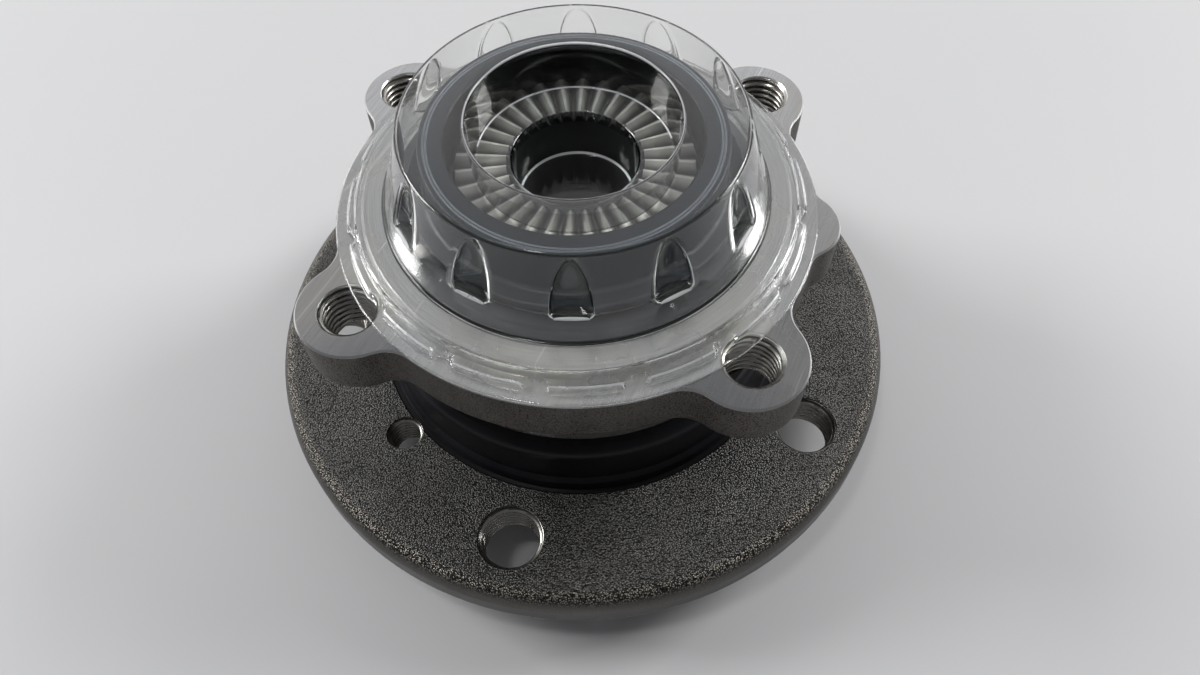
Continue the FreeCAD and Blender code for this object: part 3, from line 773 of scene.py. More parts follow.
@dataclass(frozen=True)
class ClearFinish(Finish):
    """Clear thermoformed plastic that lets lamps through to what it covers."""

    ior: float = 1.46
    transmission: float = 1.0
    tint: Color = (0.93, 0.95, 0.95)
    wave: float = 0.008
    wave_scale: float = 160.0
    film_size: float = 9.0
    film_dulling: float = 0.03

    def build(self, effects: Effects) -> bpy.types.Material:
        """Make the material.

        Args:
            effects: The shared groups.

        Returns:
            The material.
        """
        material, graph, shader = self.start()
        shader.inputs["Transmission Weight"].default_value = self.transmission
        shader.inputs["IOR"].default_value = self.ior
        spot, _ = self.place(graph, effects)
        film = effects.smudge.use(graph, Position=spot, Size=self.film_size)["Mask"]
        rough = graph.lerp(film, self.roughness, self.roughness + self.film_dulling)
        graph.feed(shader.inputs["Roughness"], rough)
        self.bump(graph, shader, graph.noise(spot, self.wave_scale, 1.0, 0.5), self.wave)
        through = graph.node("BsdfTransparent", {"Color": self.tint})
        self.cover(graph, shader, graph.node("LightPath").outputs["Is Shadow Ray"], through)
        return material


# Meshes


@dataclass(frozen=True)
class Corner:
    """Corner of a profile, with the radius that rounds it."""

    r: float
    z: float
    rounding: float = 0.0


class Profile:
    """Open or closed line in the half plane of radius and height, with rounded corners."""

    def __init__(self, corners: list[Corner], step: float, arc_parts: int = 4) -> None:
        """Work out the points.

        Args:
            corners: Corners in order.
            step: Longest straight piece, in millimetres.
            arc_parts: Pieces in a quarter turn of a rounded corner.
        """
        self.points = self._spaced(self._rounded(corners, arc_parts), step)

    @staticmethod
    def _rounded(corners: list[Corner], arc_parts: int) -> list[tuple[float, float]]:
        """Replace each rounded corner by points on its arc.

        Args:
            corners: Corners in order.
            arc_parts: Pieces in a quarter turn.

        Returns:
            The points.
        """
        made = [(corners[0].r, corners[0].z)]
        for before, corner, after in zip(corners, corners[1:], corners[2:]):
            here = Vector((corner.r, corner.z))
            back = (Vector((before.r, before.z)) - here).normalized()
            ahead = (Vector((after.r, after.z)) - here).normalized()
            turn = math.pi - back.angle(ahead)
            if corner.rounding <= 0.0 or turn < 1e-3:
                made.append(tuple(here))
                continue
            reach = corner.rounding * math.tan(turn / 2)
            centre = here + (back + ahead).normalized() * (corner.rounding / math.cos(turn / 2))
            first = here + back * reach - centre
            last = here + ahead * reach - centre
            parts = max(2, round(arc_parts * turn / (math.pi / 2)))
            for index in range(parts + 1):
                share = index / parts
                along = first * (math.sin((1 - share) * turn) / math.sin(turn))
                along += last * (math.sin(share * turn) / math.sin(turn))
                made.append(tuple(centre + along))
        made.append((corners[-1].r, corners[-1].z))
        return made

    @staticmethod
    def _spaced(points: list[tuple[float, float]], step: float) -> np.ndarray:
        """Split long pieces.

        Args:
            points: Points in order.
            step: Longest piece.

        Returns:
            The points as rows of radius and height.
        """
        made = [points[0]]
        for (r0, z0), (r1, z1) in zip(points, points[1:]):
            parts = max(1, math.ceil(math.hypot(r1 - r0, z1 - z0) / step))
            for index in range(1, parts + 1):
                made.append((r0 + (r1 - r0) * index / parts, z0 + (z1 - z0) * index / parts))
        return np.array(made)


def grid_faces(rows: int, columns: int, closed_rows: bool = False) -> list[tuple[int, int, int, int]]:
    """Quads of a grid that closes round its columns.

    Args:
        rows: Count of rings.
        columns: Points in each ring.
        closed_rows: Whether the last ring joins the first.

    Returns:
        Corner indices of each quad.
    """
    faces = []
    for row in range(rows if closed_rows else rows - 1):
        following = (row + 1) % rows
        for column in range(columns):
            ahead = (column + 1) % columns
            faces.append((row * columns + column, row * columns + ahead,
                          following * columns + ahead, following * columns + column))
    return faces


def zipped(one: int, first: np.ndarray, two: int, second: np.ndarray) -> list[tuple[int, ...]]:
    """Faces between two rings, also where their columns stand at other angles.

    Args:
        one: Index of the first ring's first point.
        first: Its angles in degrees, rising round the circle.
        two: Index of the second ring's first point.
        second: Its angles.

    Returns:
        Corner indices of each face.
    """
    if first is second:
        count = len(first)
        return [(one + i, two + i, two + (i + 1) % count, one + (i + 1) % count) for i in range(count)]
    begin = int(np.argmin(np.abs((second - first[0] + 180.0) % 360.0 - 180.0)))
    turn = (np.roll(second, -begin) - first[0] + 180.0) % 360.0 - 180.0
    turn[1:] = turn[1:] % 360.0
    ahead = (first - first[0]) % 360.0
    i = j = 0
    faces = []
    while i < len(first) or j < len(second):
        next_i = ahead[i + 1] if i + 1 < len(first) else 360.0
        next_j = turn[j + 1] if j + 1 < len(second) else 360.0 + turn[0]
        corner = (one + i % len(first), two + (j + begin) % len(second))
        if j >= len(second) or (i < len(first) and next_i <= next_j):
            faces.append((corner[0], corner[1], one + (i + 1) % len(first)))
            i += 1
        else:
            faces.append((corner[0], corner[1], two + (j + 1 + begin) % len(second)))
            j += 1
    return faces


def add_object(name: str, data: bpy.types.ID) -> bpy.types.Object:
    """Make an object and link it into the scene.

    Args:
        name: Name of the object.
        data: Its mesh, light or camera.

    Returns:
        The object.
    """
    made = bpy.data.objects.new(name, data)
    bpy.context.scene.collection.objects.link(made)
    return made


@dataclass
class Piece:
    """Shown piece made from points in millimetres."""

    name: str
    body: Body
    slot: Slot
    material: bpy.types.Material
    stands_for: tuple[str, ...] = ()

    def make(self, points: np.ndarray, faces: list[tuple[int, ...]]) -> bpy.types.Object:
        """Build the mesh and hand it to the frame.

        Args:
            points: Rows of x, y and z in millimetres.
            faces: Corner indices of each face.

        Returns:
            The object.
        """
        mesh = bpy.data.meshes.new(self.name)
        mesh.from_pydata((points * MM).tolist(), [], faces)
        shape = bmesh.new()
        shape.from_mesh(mesh)
        bmesh.ops.recalc_face_normals(shape, faces=shape.faces)
        shape.to_mesh(mesh)
        shape.free()
        mesh.shade_smooth()
        mesh.materials.append(self.material)
        made = add_object(self.name, mesh)
        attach(made, self.body.value)
        if self.stands_for:
            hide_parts(*self.stands_for)
        LOG.info("%s: %d faces on %s", self.name, len(mesh.polygons), self.body.value)
        return made


def polar(radius: float, degrees: float) -> Vector:
    """Point of the ground plane at a radius and angle round the axis, in millimetres."""
    angle = math.radians(degrees)
    return Vector((radius * math.cos(angle), radius * math.sin(angle), 0.0))


def radii_and_heights(points: np.ndarray) -> tuple[np.ndarray, np.ndarray]:
    """Radius and height of each point round the axis."""
    return np.hypot(points[:, 0], points[:, 1]), points[:, 2]


# Sub-assemblies


@dataclass(frozen=True)
class Bend:
    """Bend of the cap's profile, by its corner and how far its finish reaches from there."""

    r: float
    z: float
    reach: float


@dataclass
class TransportCap:
    """Clear thermoformed cap: well, dents down its side, bead with notches, and brim."""

    wall: float = 0.55
    top_z: float = 86.0
    rim_r: float = 33.6
    rim_rounding: float = 0.9
    base_r: float = 39.2
    base_z: float = 67.8
    well_r: float = 20.7
    shelf_r: float = 19.9
    shelf_z: float = 75.5
    pocket_r: float = 12.6
    pocket_floor_r: float = 11.8
    pocket_floor_z: float = 64.6
    pilot_r: float = 45.4
    bead_r: float = 47.3
    bead_z: float = 65.4
    brim_r: float = 49.8
    brim_z: float = 63.4
    dents: int = 12
    first_dent: float = -3.0
    dent_top_z: float = 84.7
    dent_foot_z: float = 72.9
    dent_half: float = 4.15
    dent_corner: float = 0.9
    dent_reach_r: float = 34.7
    dent_columns: int = 28
    dent_gap_columns: int = 10
    ledge: float = 0.5
    ledge_shade: float = 0.55
    foot_line_low: float = 0.36
    foot_line_high: float = 0.05
    notches: int = 16
    first_notch: float = -11.25
    notch_r: float = 2.85
    notch_circle_r: float = 48.5
    notch_flank: float = 0.45
    plain_columns: int = 180
    shelf_front: float = 3.0
    pocket_shade: float = 3.0

    def _well(self) -> np.ndarray:
        """Profile from the middle of the pocket up to the rim."""
        corners = [
            Corner(0.4, self.pocket_floor_z),
            Corner(self.pocket_floor_r, self.pocket_floor_z, 0.8),
            Corner(self.pocket_r, self.shelf_z, 0.75),
            Corner(self.shelf_r, self.shelf_z, 0.7),
            Corner(self.well_r, self.top_z, 0.75),
            Corner(self.rim_r - 3.0, self.top_z),
        ]
        return Profile(corners, 2.0, arc_parts=6).points

    def _lean(self) -> float:
        """Outward lean of the side wall, as radius over height."""
        return (self.base_r - self.rim_r) / (self.top_z - self.base_z)

    def _side(self) -> np.ndarray:
        """Profile of the rim and the dented side, finer where the dents begin and end."""
        lean = self._lean()
        edge_z = self.dent_top_z + 0.1
        rim = Profile([Corner(self.rim_r - 3.0, self.top_z), Corner(self.rim_r, self.top_z, self.rim_rounding),
                       Corner(self.rim_r + lean * (self.top_z - edge_z), edge_z)], 2.0, arc_parts=8).points[1:]
        foot = self.dent_foot_z
        down = np.linspace(0.0, 1.0, 22)[1:] ** 1.4
        heights = np.concatenate([
            self.dent_top_z - (self.dent_top_z - foot - self.dent_corner - 0.2) * down,
            np.linspace(foot + self.dent_corner, foot - 0.6, 13),
            np.linspace(foot - 1.3, self.base_z + 1.2, 5)])
        wall = np.stack([self.rim_r + lean * (self.top_z - heights), heights], axis=-1)
        start = Corner(self.base_r - lean * 1.0, self.base_z + 1.0)
        base = Profile([start, Corner(self.base_r, self.base_z, 0.7),
                        Corner(self.base_r + 2.4, self.base_z)], 2.0, arc_parts=6).points
        return np.vstack([rim, wall, base])

    def _bead(self) -> np.ndarray:
        """Profile of the land over the pilot, the bead and the brim."""
        corners = [
            Corner(self.base_r + 3.4, self.base_z),
            Corner(self.pilot_r, self.base_z, 0.65),
            Corner(self.pilot_r, self.bead_z, 0.4),
            Corner(self.bead_r, self.bead_z, 0.6),
            Corner(self.bead_r, self.brim_z, 0.5),
            Corner(self.brim_r, self.brim_z),
        ]
        return Profile(corners, 0.6, arc_parts=4).points

    @staticmethod
    def _angles(count: int, first: float, half: float, inner: int, outer: int) -> np.ndarray:
        """Column angles packed closely round evenly spaced features.

        Args:
            count: Features round the circle.
            first: Angle of the first one in degrees.
            half: Half the finely divided stretch in degrees.
            inner: Columns in that stretch.
            outer: Columns between two stretches.

        Returns:
            The angles in degrees.
        """
        pitch = 360.0 / count
        fine = np.linspace(-half, half, inner + 1)
        coarse = np.linspace(half, pitch - half, outer + 1)[1:-1]
        one = np.concatenate([fine, coarse])
        return np.concatenate([first + index * pitch + one for index in range(count)])

    def _inward(self, line: np.ndarray) -> np.ndarray:
        """The profile's inner side, one wall thickness in.

        Args:
            line: The outer profile.

        Returns:
            The inner profile.
        """
        run = np.gradient(line, axis=0)
        run /= np.linalg.norm(run, axis=1, keepdims=True)
        return line + self.wall * np.stack([run[:, 1], -run[:, 0]], axis=-1)

    def _dent_down(self, z: float) -> float:
        """Share of a dent's height that lies above a height."""
        return min(max((self.dent_top_z - z) / (self.dent_top_z - self.dent_foot_z), 0.0), 1.0)

    def _dent_half_at(self, z: float) -> float:
        """Half width of a dent at a height: a rounded arch with small round corners at its foot.

        Args:
            z: Height.

        Returns:
            The half width.
        """
        down = self._dent_down(z)
        half = self.dent_half * max((1.0 - (1.0 - down) ** 2) ** 0.6, 0.03)
        low = min(max((self.dent_foot_z + self.dent_corner - z) / self.dent_corner, 0.0), 1.0)
        return half - self.dent_corner * (1.0 - math.sqrt(1.0 - low * low))

    def _dented_ring(self, r: float, z: float, placed_r: float) -> tuple[np.ndarray, np.ndarray]:
        """Radius and angle of one ring of the dented side, with columns that follow the dents' outline.

        Args:
            r: Radius of the outer profile here.
            z: Height of the outer profile here.
            placed_r: Radius of this side of the sheet.

        Returns:
            The radii, and the angles in degrees.
        """
        pitch = 360.0 / self.dents
        half = self._dent_half_at(z)
        half_deg = math.degrees(math.asin(half / r))
        across = np.sin(np.linspace(-math.pi / 2, math.pi / 2, self.dent_columns + 1))
        between = np.linspace(0.0, 1.0, self.dent_gap_columns + 1)[1:-1]
        one = np.concatenate([across * half_deg, half_deg + (pitch - 2 * half_deg) * between])
        foot_r = self.rim_r + self._lean() * (self.top_z - self.dent_foot_z)
        down = self._dent_down(z)
        on_ledge = min(max((z - self.dent_foot_z) / self.ledge + 0.5, 0.0), 1.0)
        deepest = (foot_r - self.dent_reach_r) * down ** 0.75 * on_ledge ** 2 * (3 - 2 * on_ledge)
        depth = np.concatenate([deepest * (1.0 - across ** 2) ** 0.42, np.zeros(between.shape)])
        angles = np.concatenate([self.first_dent + index * pitch + one for index in range(self.dents)])
        return placed_r - np.tile(depth, self.dents), angles

    def _notch(self, r: np.ndarray, angle: np.ndarray) -> np.ndarray:
        """Share by which the half-moon notches press the bead down.

        Args:
            r: Radius of each point.
            angle: Angle of each point in degrees.

        Returns:
            The share at each point.
        """
        pitch = 360.0 / self.notches
        off = np.radians((angle - self.first_notch + pitch / 2) % pitch - pitch / 2)
        from_centre = np.hypot(r * np.cos(off) - self.notch_circle_r, r * np.sin(off))
        inside = np.clip((self.notch_r - from_centre) / self.notch_flank + 0.5, 0.0, 1.0)
        return np.where(r > self.pilot_r - 0.6, inside * inside * (3 - 2 * inside), 0.0)

    def _skin(self, inner: bool) -> list[tuple[np.ndarray, np.ndarray, np.ndarray, np.ndarray]]:
        """One side of the sheet, ring by ring.

        Args:
            inner: Whether it is the inner side.

        Returns:
            Radius, height and angle of the points in each ring, and the ring's column angles.
        """
        plain = 360.0 * np.arange(self.plain_columns) / self.plain_columns
        dented = self._dented_ring(self.rim_r, self.dent_foot_z, self.rim_r)[1]
        notched = self._angles(self.notches, self.first_notch, 4.2, 26, 5)
        line = np.vstack([self._well(), self._side(), self._bead()])
        count = len(self._well()), len(self._side())
        placed = self._inward(line) if inner else line
        rings = []
        for index, ((r, z), (outer_r, outer_z)) in enumerate(zip(placed, line)):
            columns = plain if index < count[0] else dented if index < sum(count) else notched
            radius, height, angle = np.full(columns.shape, r), np.full(columns.shape, z), columns
            if columns is dented:
                radius, angle = self._dented_ring(outer_r, outer_z, r)
            if columns is notched:
                floor = self.brim_z - (self.wall if inner else 0.0)
                share = self._notch(np.full(columns.shape, outer_r), columns)
                height += (floor - height) * np.where(height > floor, share, 0.0)
            rings.append((radius, height, angle, columns))
        return rings

    def build(self, clear: bpy.types.Material, bend_highlight: bpy.types.Material, shaded: bpy.types.Material,
              wall_shade_tint: bpy.types.Material) -> bpy.types.Object:
        """Make the cap.

        Args:
            clear: Its clear finish.
            bend_highlight: Pale finish of the bends, a painted highlight for the bright lines along them.
            shaded: Dark tinted finish of the tight bends, painted shade for the dark lines along them.
            wall_shade_tint: Finish of the steep walls of the well and the pocket, a dark tint that paints the shade
                seen through them.

        Returns:
            The cap.
        """
        outside, inside = self._skin(False), self._skin(True)
        edge = (np.full(outside[-1][2].shape, self.brim_r + 0.12),
                np.full(outside[-1][2].shape, self.brim_z - self.wall / 2), outside[-1][2], outside[-1][3])
        rings = outside + [edge] + inside[::-1]
        starts, points = [], []
        for radius, height, angle, _ in rings:
            starts.append(sum(len(ring) for ring in points))
            turn = np.radians(angle)
            points.append(np.stack([radius * np.cos(turn), radius * np.sin(turn), height], axis=-1))
        faces = [tuple(reversed(range(self.plain_columns)))]
        for one, two, ring, following in zip(starts, starts[1:], rings, rings[1:]):
            faces += zipped(one, ring[3], two, following[3])
        faces.append(tuple(range(starts[-1], starts[-1] + self.plain_columns)))
        placed = np.vstack(points)
        piece = Piece("clear_cap", Body.CAP, Slot.CLEAR_PLASTIC, clear, ("transport_cap",))
        made = piece.make(placed, faces)
        for other in (bend_highlight, shaded, wall_shade_tint):
            made.data.materials.append(other)
        made.data.polygons.foreach_set("material_index", self._looks(placed, starts, faces))
        return made

    def _looks(self, placed: np.ndarray, starts: list[int], faces: list[tuple[int, ...]]) -> np.ndarray:
        """Which of the cap's materials each face has.

        Args:
            placed: Every point of the sheet.
            starts: Index of each ring's first point.
            faces: Corner indices of each face.

        Returns:
            Material index of each face.
        """
        # Pale bends, dent outlines and notch flanks: painted highlight for the bright lines along them; the shelf's
        # bend gets it only at its back.
        pale = self._near(placed, (Bend(self.well_r, self.top_z, 0.46), Bend(self.pocket_r, self.shelf_z, 0.34),
                                   Bend(self.pocket_floor_r, self.pocket_floor_z, 0.4),
                                   Bend(self.pilot_r, self.base_z, 0.36), Bend(self.bead_r, self.bead_z, 0.42)))
        pale |= self._near(placed, (Bend(self.shelf_r, self.shelf_z, 0.34),)) & (placed[:, 1] > self.shelf_front)
        pale |= self._dent_outline(starts, len(placed)) | self._notch_flanks(placed)
        # Dark tinted rim and base bends and dent ledges: painted shade.
        dark = self._near(placed, (Bend(self.rim_r, self.top_z, 0.55), Bend(self.base_r, self.base_z, 0.4)))
        dark |= self._dent_ledges(starts, len(placed))
        # Steep walls of the well and the pocket: dark tint as painted shade.
        walls = self._shaded_walls(placed)
        looks = np.full(len(faces), Sheet.CLEAR, dtype=np.int32)
        for index, face in enumerate(faces):
            if len(face) > 4:
                continue
            corners = list(face)
            for points, look in ((pale, Sheet.MILKY), (dark, Sheet.DARK), (walls, Sheet.SMOKY)):
                if points[corners].all():
                    looks[index] = look
                    break
        return looks

    def _notch_flanks(self, points: np.ndarray) -> np.ndarray:
        """Points on the steep flanks of the bead's notches.

        Args:
            points: Every point of the sheet.

        Returns:
            Whether each point lies there.
        """
        r = np.hypot(points[:, 0], points[:, 1])
        share = self._notch(r, np.degrees(np.arctan2(points[:, 1], points[:, 0])))
        return (share > 0.08) & (share < 0.92) & (r < self.bead_r + 0.6)

    def _shaded_walls(self, points: np.ndarray) -> np.ndarray:
        """Points on the steep walls of the well and the pocket, which a dark tint gives painted shade.

        Args:
            points: Every point of the sheet.

        Returns:
            Whether each point lies there.
        """
        r, z = radii_and_heights(points)
        well = (r > self.pocket_r + 1.0) & (r < self.well_r + 0.3) & (z > self.shelf_z + 0.3) & (z < self.top_z - 0.4)
        pocket = (r < self.pocket_r + 0.3) & (z > self.shelf_z - self.pocket_shade) & (z < self.shelf_z - 0.2)
        return well | pocket

    @staticmethod
    def _near(points: np.ndarray, bends: tuple[Bend, ...]) -> np.ndarray:
        """Points on some bends.

        Args:
            points: Every point of the sheet.
            bends: The bends.

        Returns:
            Whether each point lies on one of them.
        """
        r, z = radii_and_heights(points)
        found = np.zeros(len(points), dtype=bool)
        for bend in bends:
            found |= np.hypot(r - bend.r, z - bend.z) < bend.reach
        return found

    def _dent_starts(self, starts: list[int], low: float, high: float) -> Iterator[tuple[float, int]]:
        """Where each dent begins in the outer rings between two heights.

        Args:
            starts: Index of each ring's first point.
            low: Height above which a ring counts.
            high: Height below which a ring counts.

        Yields:
            The ring's height and the index of the dent's first point.
        """
        well = len(self._well())
        stride = self.dent_columns + self.dent_gap_columns
        for index, z in enumerate(self._side()[:, 1], start=well):
            if low < z < high:
                for dent in range(self.dents):
                    yield z, starts[index] + dent * stride

    def _dent_ledges(self, starts: list[int], total: int) -> np.ndarray:
        """Points of each dent's ledge, on the outer side.

        Args:
            starts: Index of each ring's first point.
            total: Count of all points.

        Returns:
            Whether each point is one of them.
        """
        found = np.zeros(total, dtype=bool)
        low, high = self.dent_foot_z - self.ledge_shade, self.dent_foot_z + self.ledge_shade
        for _, first in self._dent_starts(starts, low, high):
            found[first + 2:first + self.dent_columns - 1] = True
        return found

    def _dent_outline(self, starts: list[int], total: int) -> np.ndarray:
        """Points of the two outermost columns of each dent and of its foot, on the outer side.

        Args:
            starts: Index of each ring's first point.
            total: Count of all points.

        Returns:
            Whether each point is one of them.
        """
        found = np.zeros(total, dtype=bool)
        for z, first in self._dent_starts(starts, self.dent_foot_z - self.foot_line_low, self.dent_top_z):
            last = first + self.dent_columns
            found[[first, first + 1, last - 1, last]] = True
            if z < self.dent_foot_z - self.foot_line_high:
                found[first:last + 1] = True
        return found


@dataclass
class ThreadCut:
    """Cut thread inside one tapped hole, as a thin sleeve on the hole's wall."""

    name: str
    body: Body
    slot: Slot
    centre: Vector
    low_z: float
    high_z: float
    major_r: float
    pitch: float
    columns: int = 72
    rows_per_turn: int = 10
    cut_share: float = 0.6134
    sink: float = 0.12
    lead: float = 0.9
    groove_share: float = 0.62
    flank_share: float = 0.42 / 1.15
    skin: float = 0.02

    def build(self, material: bpy.types.Material, groove: bpy.types.Material) -> bpy.types.Object:
        """Make the sleeve.

        Args:
            material: Finish of the cut steel.
            groove: Finish down in the groove, where oil and shade gather.

        Returns:
            The sleeve.
        """
        length = self.high_z - self.low_z
        rows = math.ceil(length / self.pitch * self.rows_per_turn)
        z = np.linspace(self.low_z, self.high_z, rows + 1)
        turn = 2 * math.pi * np.arange(self.columns) / self.columns
        grid_z, grid_turn = np.meshgrid(z, turn, indexing="ij")
        phase = (grid_z / self.pitch - grid_turn / (2 * math.pi)) % 1.0
        crest = np.clip((0.5 - np.abs(phase - 0.5)) / self.flank_share, 0.0, 1.0)
        ends = np.minimum(grid_z - self.low_z, self.high_z - grid_z) / self.lead
        depth = self.cut_share * self.pitch * np.clip(ends, 0.0, 1.0)
        inner = self.major_r - self.skin - depth * crest
        outer = np.full((2, self.columns), self.major_r + self.sink)
        radius = np.vstack([inner, outer])
        heights = np.vstack([grid_z, grid_z[-1:], grid_z[:1]])
        turns = np.vstack([grid_turn, grid_turn[:1], grid_turn[:1]])
        points = np.stack([self.centre.x + radius * np.cos(turns), self.centre.y + radius * np.sin(turns),
                           heights], axis=-1).reshape(-1, 3)
        faces = [tuple(reversed(face)) for face in grid_faces(rows + 3, self.columns, closed_rows=True)]
        made = Piece(self.name, self.body, self.slot, material).make(points, faces)
        made.data.materials.append(groove)
        deep = np.zeros((rows + 3, self.columns), dtype=np.int32)
        deep[:rows] = crest[:-1] < self.groove_share
        made.data.polygons.foreach_set("material_index", deep.reshape(-1))
        return made


@dataclass(frozen=True)
class HoleRow:
    """Tapped holes of one kind: where they stand, their thread, and the faces that they run between."""

    name: str
    body: Body
    slot: Slot
    circle_r: float
    degrees: tuple[float, ...]
    major_r: float
    pitch: float
    low_z: float
    high_z: float
    columns: int = 72
    mouth: float = 0.22

    def cuts(self) -> Iterator[ThreadCut]:
        """The thread of each hole, numbered where there is more than one.

        Yields:
            The thread.
        """
        for index, degrees in enumerate(self.degrees, start=1):
            name = f"{self.name}_{index}" if len(self.degrees) > 1 else self.name
            yield ThreadCut(name, self.body, self.slot, polar(self.circle_r, degrees), self.low_z + self.mouth,
                            self.high_z - self.mouth, self.major_r, self.pitch, columns=self.columns)


@dataclass
class Threads:
    """Every tapped hole of the hub."""

    rows: tuple[HoleRow, ...] = (
        HoleRow("wheel_bolt_thread", Body.HUB, Slot.FORGED_STEEL, 60.0,
                tuple(-106.8 + 360.0 * index / 5 for index in range(5)), 7.0, 1.5, 12.4, 22.0),
        HoleRow("disc_screw_thread", Body.HUB, Slot.FORGED_STEEL, 52.0, (-142.8,), 4.0, 1.25, 12.4, 22.0,
                columns=48),
        HoleRow("knuckle_bolt_thread", Body.OUTER_RING, Slot.GROUND_STEEL, 52.0,
                (-150.0, -53.3, 34.5, 136.8), 6.0, 1.5, 50.9, 62.9),
    )

    def build(self, material: bpy.types.Material, groove: bpy.types.Material) -> list[bpy.types.Object]:
        """Cut the threads.

        Args:
            material: Finish of the cut steel.
            groove: Finish down in the grooves.

        Returns:
            One sleeve per hole.
        """
        return [cut.build(material, groove) for row in self.rows for cut in row.cuts()]


@dataclass
class DressedNodes:
    """Finishes of the pieces that keep their own mesh."""

    effects: Effects
    finishes: dict[Slot, bpy.types.Material] = field(default_factory=dict)

    def dress(self) -> None:
        """Give every shown node the finish of its material slot."""
        for part in frame["record"]["subparts"]:
            node = frame["nodes"][part["node"]]
            material = self.finishes.get(Slot(part["material_slot"]))
            if material is None or node.hide_render:
                continue
            node.data.materials.clear()
            node.data.materials.append(material)
        LOG.info("dressed %d nodes", len(frame["nodes"]))


# Studio


@dataclass(frozen=True)
class Lamp:
    """Soft square lamp: where it hangs and its side in millimetres, and its watts."""

    name: str
    place: tuple[float, float, float]
    size: float
    power: float


@dataclass
class Studio:
    """Pale floor, soft lamps and the camera."""

    lamps: tuple[Lamp, ...] = (
        Lamp("left panel", (-1080.0, 320.0, 720.0), 500.0, 10.5),
        Lamp("right panel", (1080.0, 390.0, 760.0), 500.0, 10.5),
        Lamp("small overhead", (-220.0, -120.0, 1000.0), 120.0, 1.0),
    )
    lamp_target: tuple[float, float, float] = (0.0, 0.0, 40.0)
    floor_color: Color = (0.635, 0.635, 0.64)
    cloud_color: Color = (0.59, 0.59, 0.605)
    cloud_share: float = 0.12
    cloud_size: float = 160.0
    room_color: Color = (0.15, 0.15, 0.158)
    front_color: Color = (0.13, 0.13, 0.138)
    window_color: Color = (1.15, 1.15, 1.17)
    far_color: Color = (0.64, 0.64, 0.65)
    fade_start: float = 420.0
    fade_end: float = 1100.0
    floor_half: float = 2500.0
    focal_px: float = 901.0
    frame_px: float = 1200.0
    sensor_mm: float = 36.0
    camera_place: tuple[float, float, float] = (0.0, -128.6, 203.8)
    pitch_deg: float = 56.40
    yaw_deg: float = 1.89
    roll_deg: float = -1.04

    def floor(self, effects: Effects) -> None:
        """Lay the floor.

        Args:
            effects: The shared groups.
        """
        half = self.floor_half * MM
        mesh = bpy.data.meshes.new("studio_floor")
        mesh.from_pydata([(-half, -half, 0), (half, -half, 0), (half, half, 0), (-half, half, 0)], [],
                         [(0, 1, 2, 3)])
        finish = Finish("pale floor", self.floor_color, 0.55, specular=0.3)
        material, graph, shader = finish.start()
        spot, at = finish.place(graph, effects)
        cloud = effects.smudge.use(graph, Position=spot, Size=self.cloud_size)["Mask"]
        color = graph.blend(graph.times(cloud, self.cloud_share), self.floor_color, self.cloud_color)
        graph.feed(shader.inputs["Base Color"], color)
        far = graph.times(graph.ramp(at["Radius"], self.fade_start, self.fade_end), self._seen(graph))
        glow = graph.node("Emission", {"Color": self.far_color, "Strength": 1.0})
        finish.cover(graph, shader, far, glow)
        mesh.materials.append(material)
        add_object("studio_floor", mesh)

    @staticmethod
    def _seen(graph: Graph) -> Socket:
        """Whether the background is looked at, straight or through clear plastic.

        Args:
            graph: The graph of the floor or the world.

        Returns:
            The mask socket.
        """
        path = graph.node("LightPath").outputs
        return graph.math("MAXIMUM", path["Is Camera Ray"], path["Is Transmission Ray"])

    def world(self) -> None:
        """Set the plain surrounding light."""
        world = bpy.data.worlds.new("studio")
        world.use_nodes = True
        graph = Graph(world.node_tree)
        way = graph.node("SeparateXYZ", {"Vector": graph.node("TexCoord").outputs["Generated"]}).outputs
        room = graph.blend(graph.ramp(way["Y"], -0.9, 0.3), self.front_color, self.room_color)
        window = graph.times(graph.ramp(way["Y"], 0.10, 0.55), graph.ramp(way["Z"], 0.84, 0.60))
        light = graph.blend(window, room, self.window_color)
        shown = graph.blend(self._seen(graph), light, self.far_color)
        back = graph.node("Background", {"Color": shown, "Strength": 1.0})
        graph.node("OutputWorld", {"Surface": back.outputs[0]})
        bpy.context.scene.world = world

    def light(self, lamp: Lamp) -> None:
        """Add a lamp that points at the hub.

        Args:
            lamp: Its place, size and power.
        """
        data = bpy.data.lights.new(lamp.name, "AREA")
        data.shape = "SQUARE"
        data.size = lamp.size * MM
        data.energy = lamp.power
        made = add_object(lamp.name, data)
        place = Vector(lamp.place)
        made.location = place * MM
        made.rotation_mode = "QUATERNION"
        made.rotation_quaternion = (Vector(self.lamp_target) - place).to_track_quat("-Z", "Y")

    def camera(self) -> None:
        """Place the camera at the photograph's viewing angle."""
        pitch, yaw, roll = (math.radians(v) for v in (self.pitch_deg, self.yaw_deg, self.roll_deg))
        ahead = Vector((math.sin(yaw) * math.cos(pitch), math.cos(yaw) * math.cos(pitch), -math.sin(pitch)))
        level = Vector((math.cos(yaw), -math.sin(yaw), 0.0))
        rise = level.cross(ahead)
        right = math.cos(roll) * level + math.sin(roll) * rise
        up = -math.sin(roll) * level + math.cos(roll) * rise
        data = bpy.data.cameras.new("camera")
        data.sensor_width = self.sensor_mm
        data.lens = self.sensor_mm * self.focal_px / self.frame_px
        data.clip_start = 0.01
        made = add_object("camera", data)
        turn = Matrix((right, up, -ahead)).transposed().to_4x4()
        made.matrix_world = Matrix.Translation(Vector(self.camera_place) * MM) @ turn
        bpy.context.scene.camera = made

    def build(self, effects: Effects) -> None:
        """Set the whole studio.

        Args:
            effects: The shared groups.
        """
        bpy.context.scene.view_settings.view_transform = "Standard"
        self.floor(effects)
        self.world()
        self.camera()
        for lamp in self.lamps:
            self.light(lamp)
        LOG.info("studio is set")


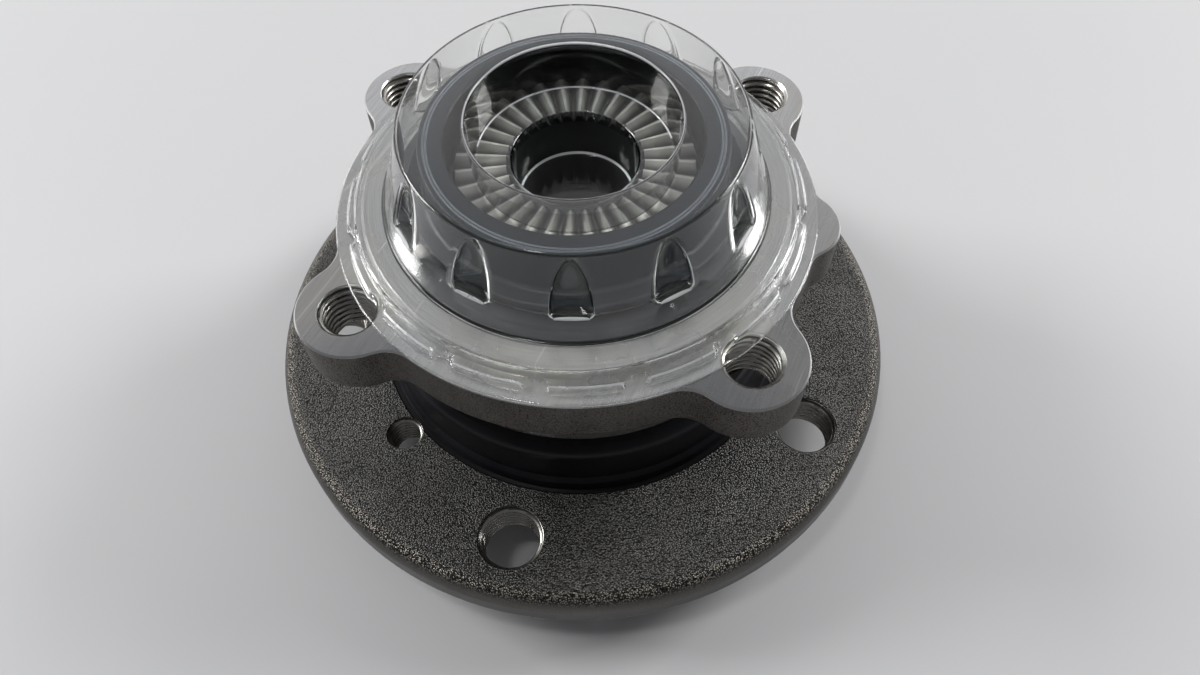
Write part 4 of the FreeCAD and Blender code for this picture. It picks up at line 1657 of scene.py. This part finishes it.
def main() -> None:
    """Build the hub's looks in order."""
    logging.basicConfig(level=logging.INFO, format="%(name)s: %(message)s")
    effects = Effects()
    Studio().build(effects)
    clear = ClearFinish("clear plastic", (0.985, 0.988, 0.978), 0.02).build(effects)
    cut_steel = TurnedFinish("cut thread steel", (0.40, 0.385, 0.36), 0.24, 1.0, pitch=0.3).build(effects)
    groove = TurnedFinish("thread groove steel", (0.10, 0.095, 0.085), 0.4, 0.9, pitch=0.3).build(effects)
    finishes = {
        Slot.FORGED_STEEL: ForgedFinish("blasted forging", (0.036, 0.035, 0.033), 0.36, 0.85).build(effects),
        Slot.GROUND_STEEL: KnuckleFinish("ground and forged steel", (0.47, 0.475, 0.48), 0.23, 0.95).build(effects),
        Slot.BEARING_STEEL: TurnedFinish("ground bearing steel", (0.56, 0.55, 0.54), 0.2, 1.0).build(effects),
        Slot.BALL_STEEL: TurnedFinish("lapped ball steel", (0.72, 0.72, 0.73), 0.08, 1.0, depth=0.001).build(effects),
        Slot.SEAL_STEEL: TurnedFinish("stamped seal steel", (0.5, 0.5, 0.5), 0.3, 1.0).build(effects),
        Slot.BLACK_RUBBER: MouldedFinish("glossy black rubber", (0.004, 0.004, 0.006), 0.3, specular=0.2, depth=0.002,
                                         dust=0.02).build(effects),
        Slot.MAGNET_RUBBER: MouldedFinish("magnet rubber", (0.022, 0.023, 0.026), 0.4).build(effects),
        Slot.SEAL_RING: SealRingFinish("slate black moulding", (0.010, 0.012, 0.015), 0.33,
                                       specular=0.22).build(effects),
        Slot.CAGE_POLYMER: MouldedFinish("cage polymer", (0.30, 0.25, 0.16), 0.45).build(effects),
    }
    # Pale bends of the cap: painted highlight.
    bend_highlight = ClearFinish("milky bend", (0.92, 0.93, 0.94), 0.25, transmission=0.6).build(effects)
    # Dark bends of the cap: painted shade.
    shaded = ClearFinish("dark bend", (0.30, 0.31, 0.29), 0.04).build(effects)
    # Steep walls of the cap: dark tint as painted shade.
    wall_shade_tint = ClearFinish("drawn wall", (0.46, 0.47, 0.46), 0.03).build(effects)
    TransportCap().build(clear, bend_highlight, shaded, wall_shade_tint)
    Threads().build(cut_steel, groove)
    DressedNodes(effects, finishes).dress()


if __name__ == "__main__":
    main()
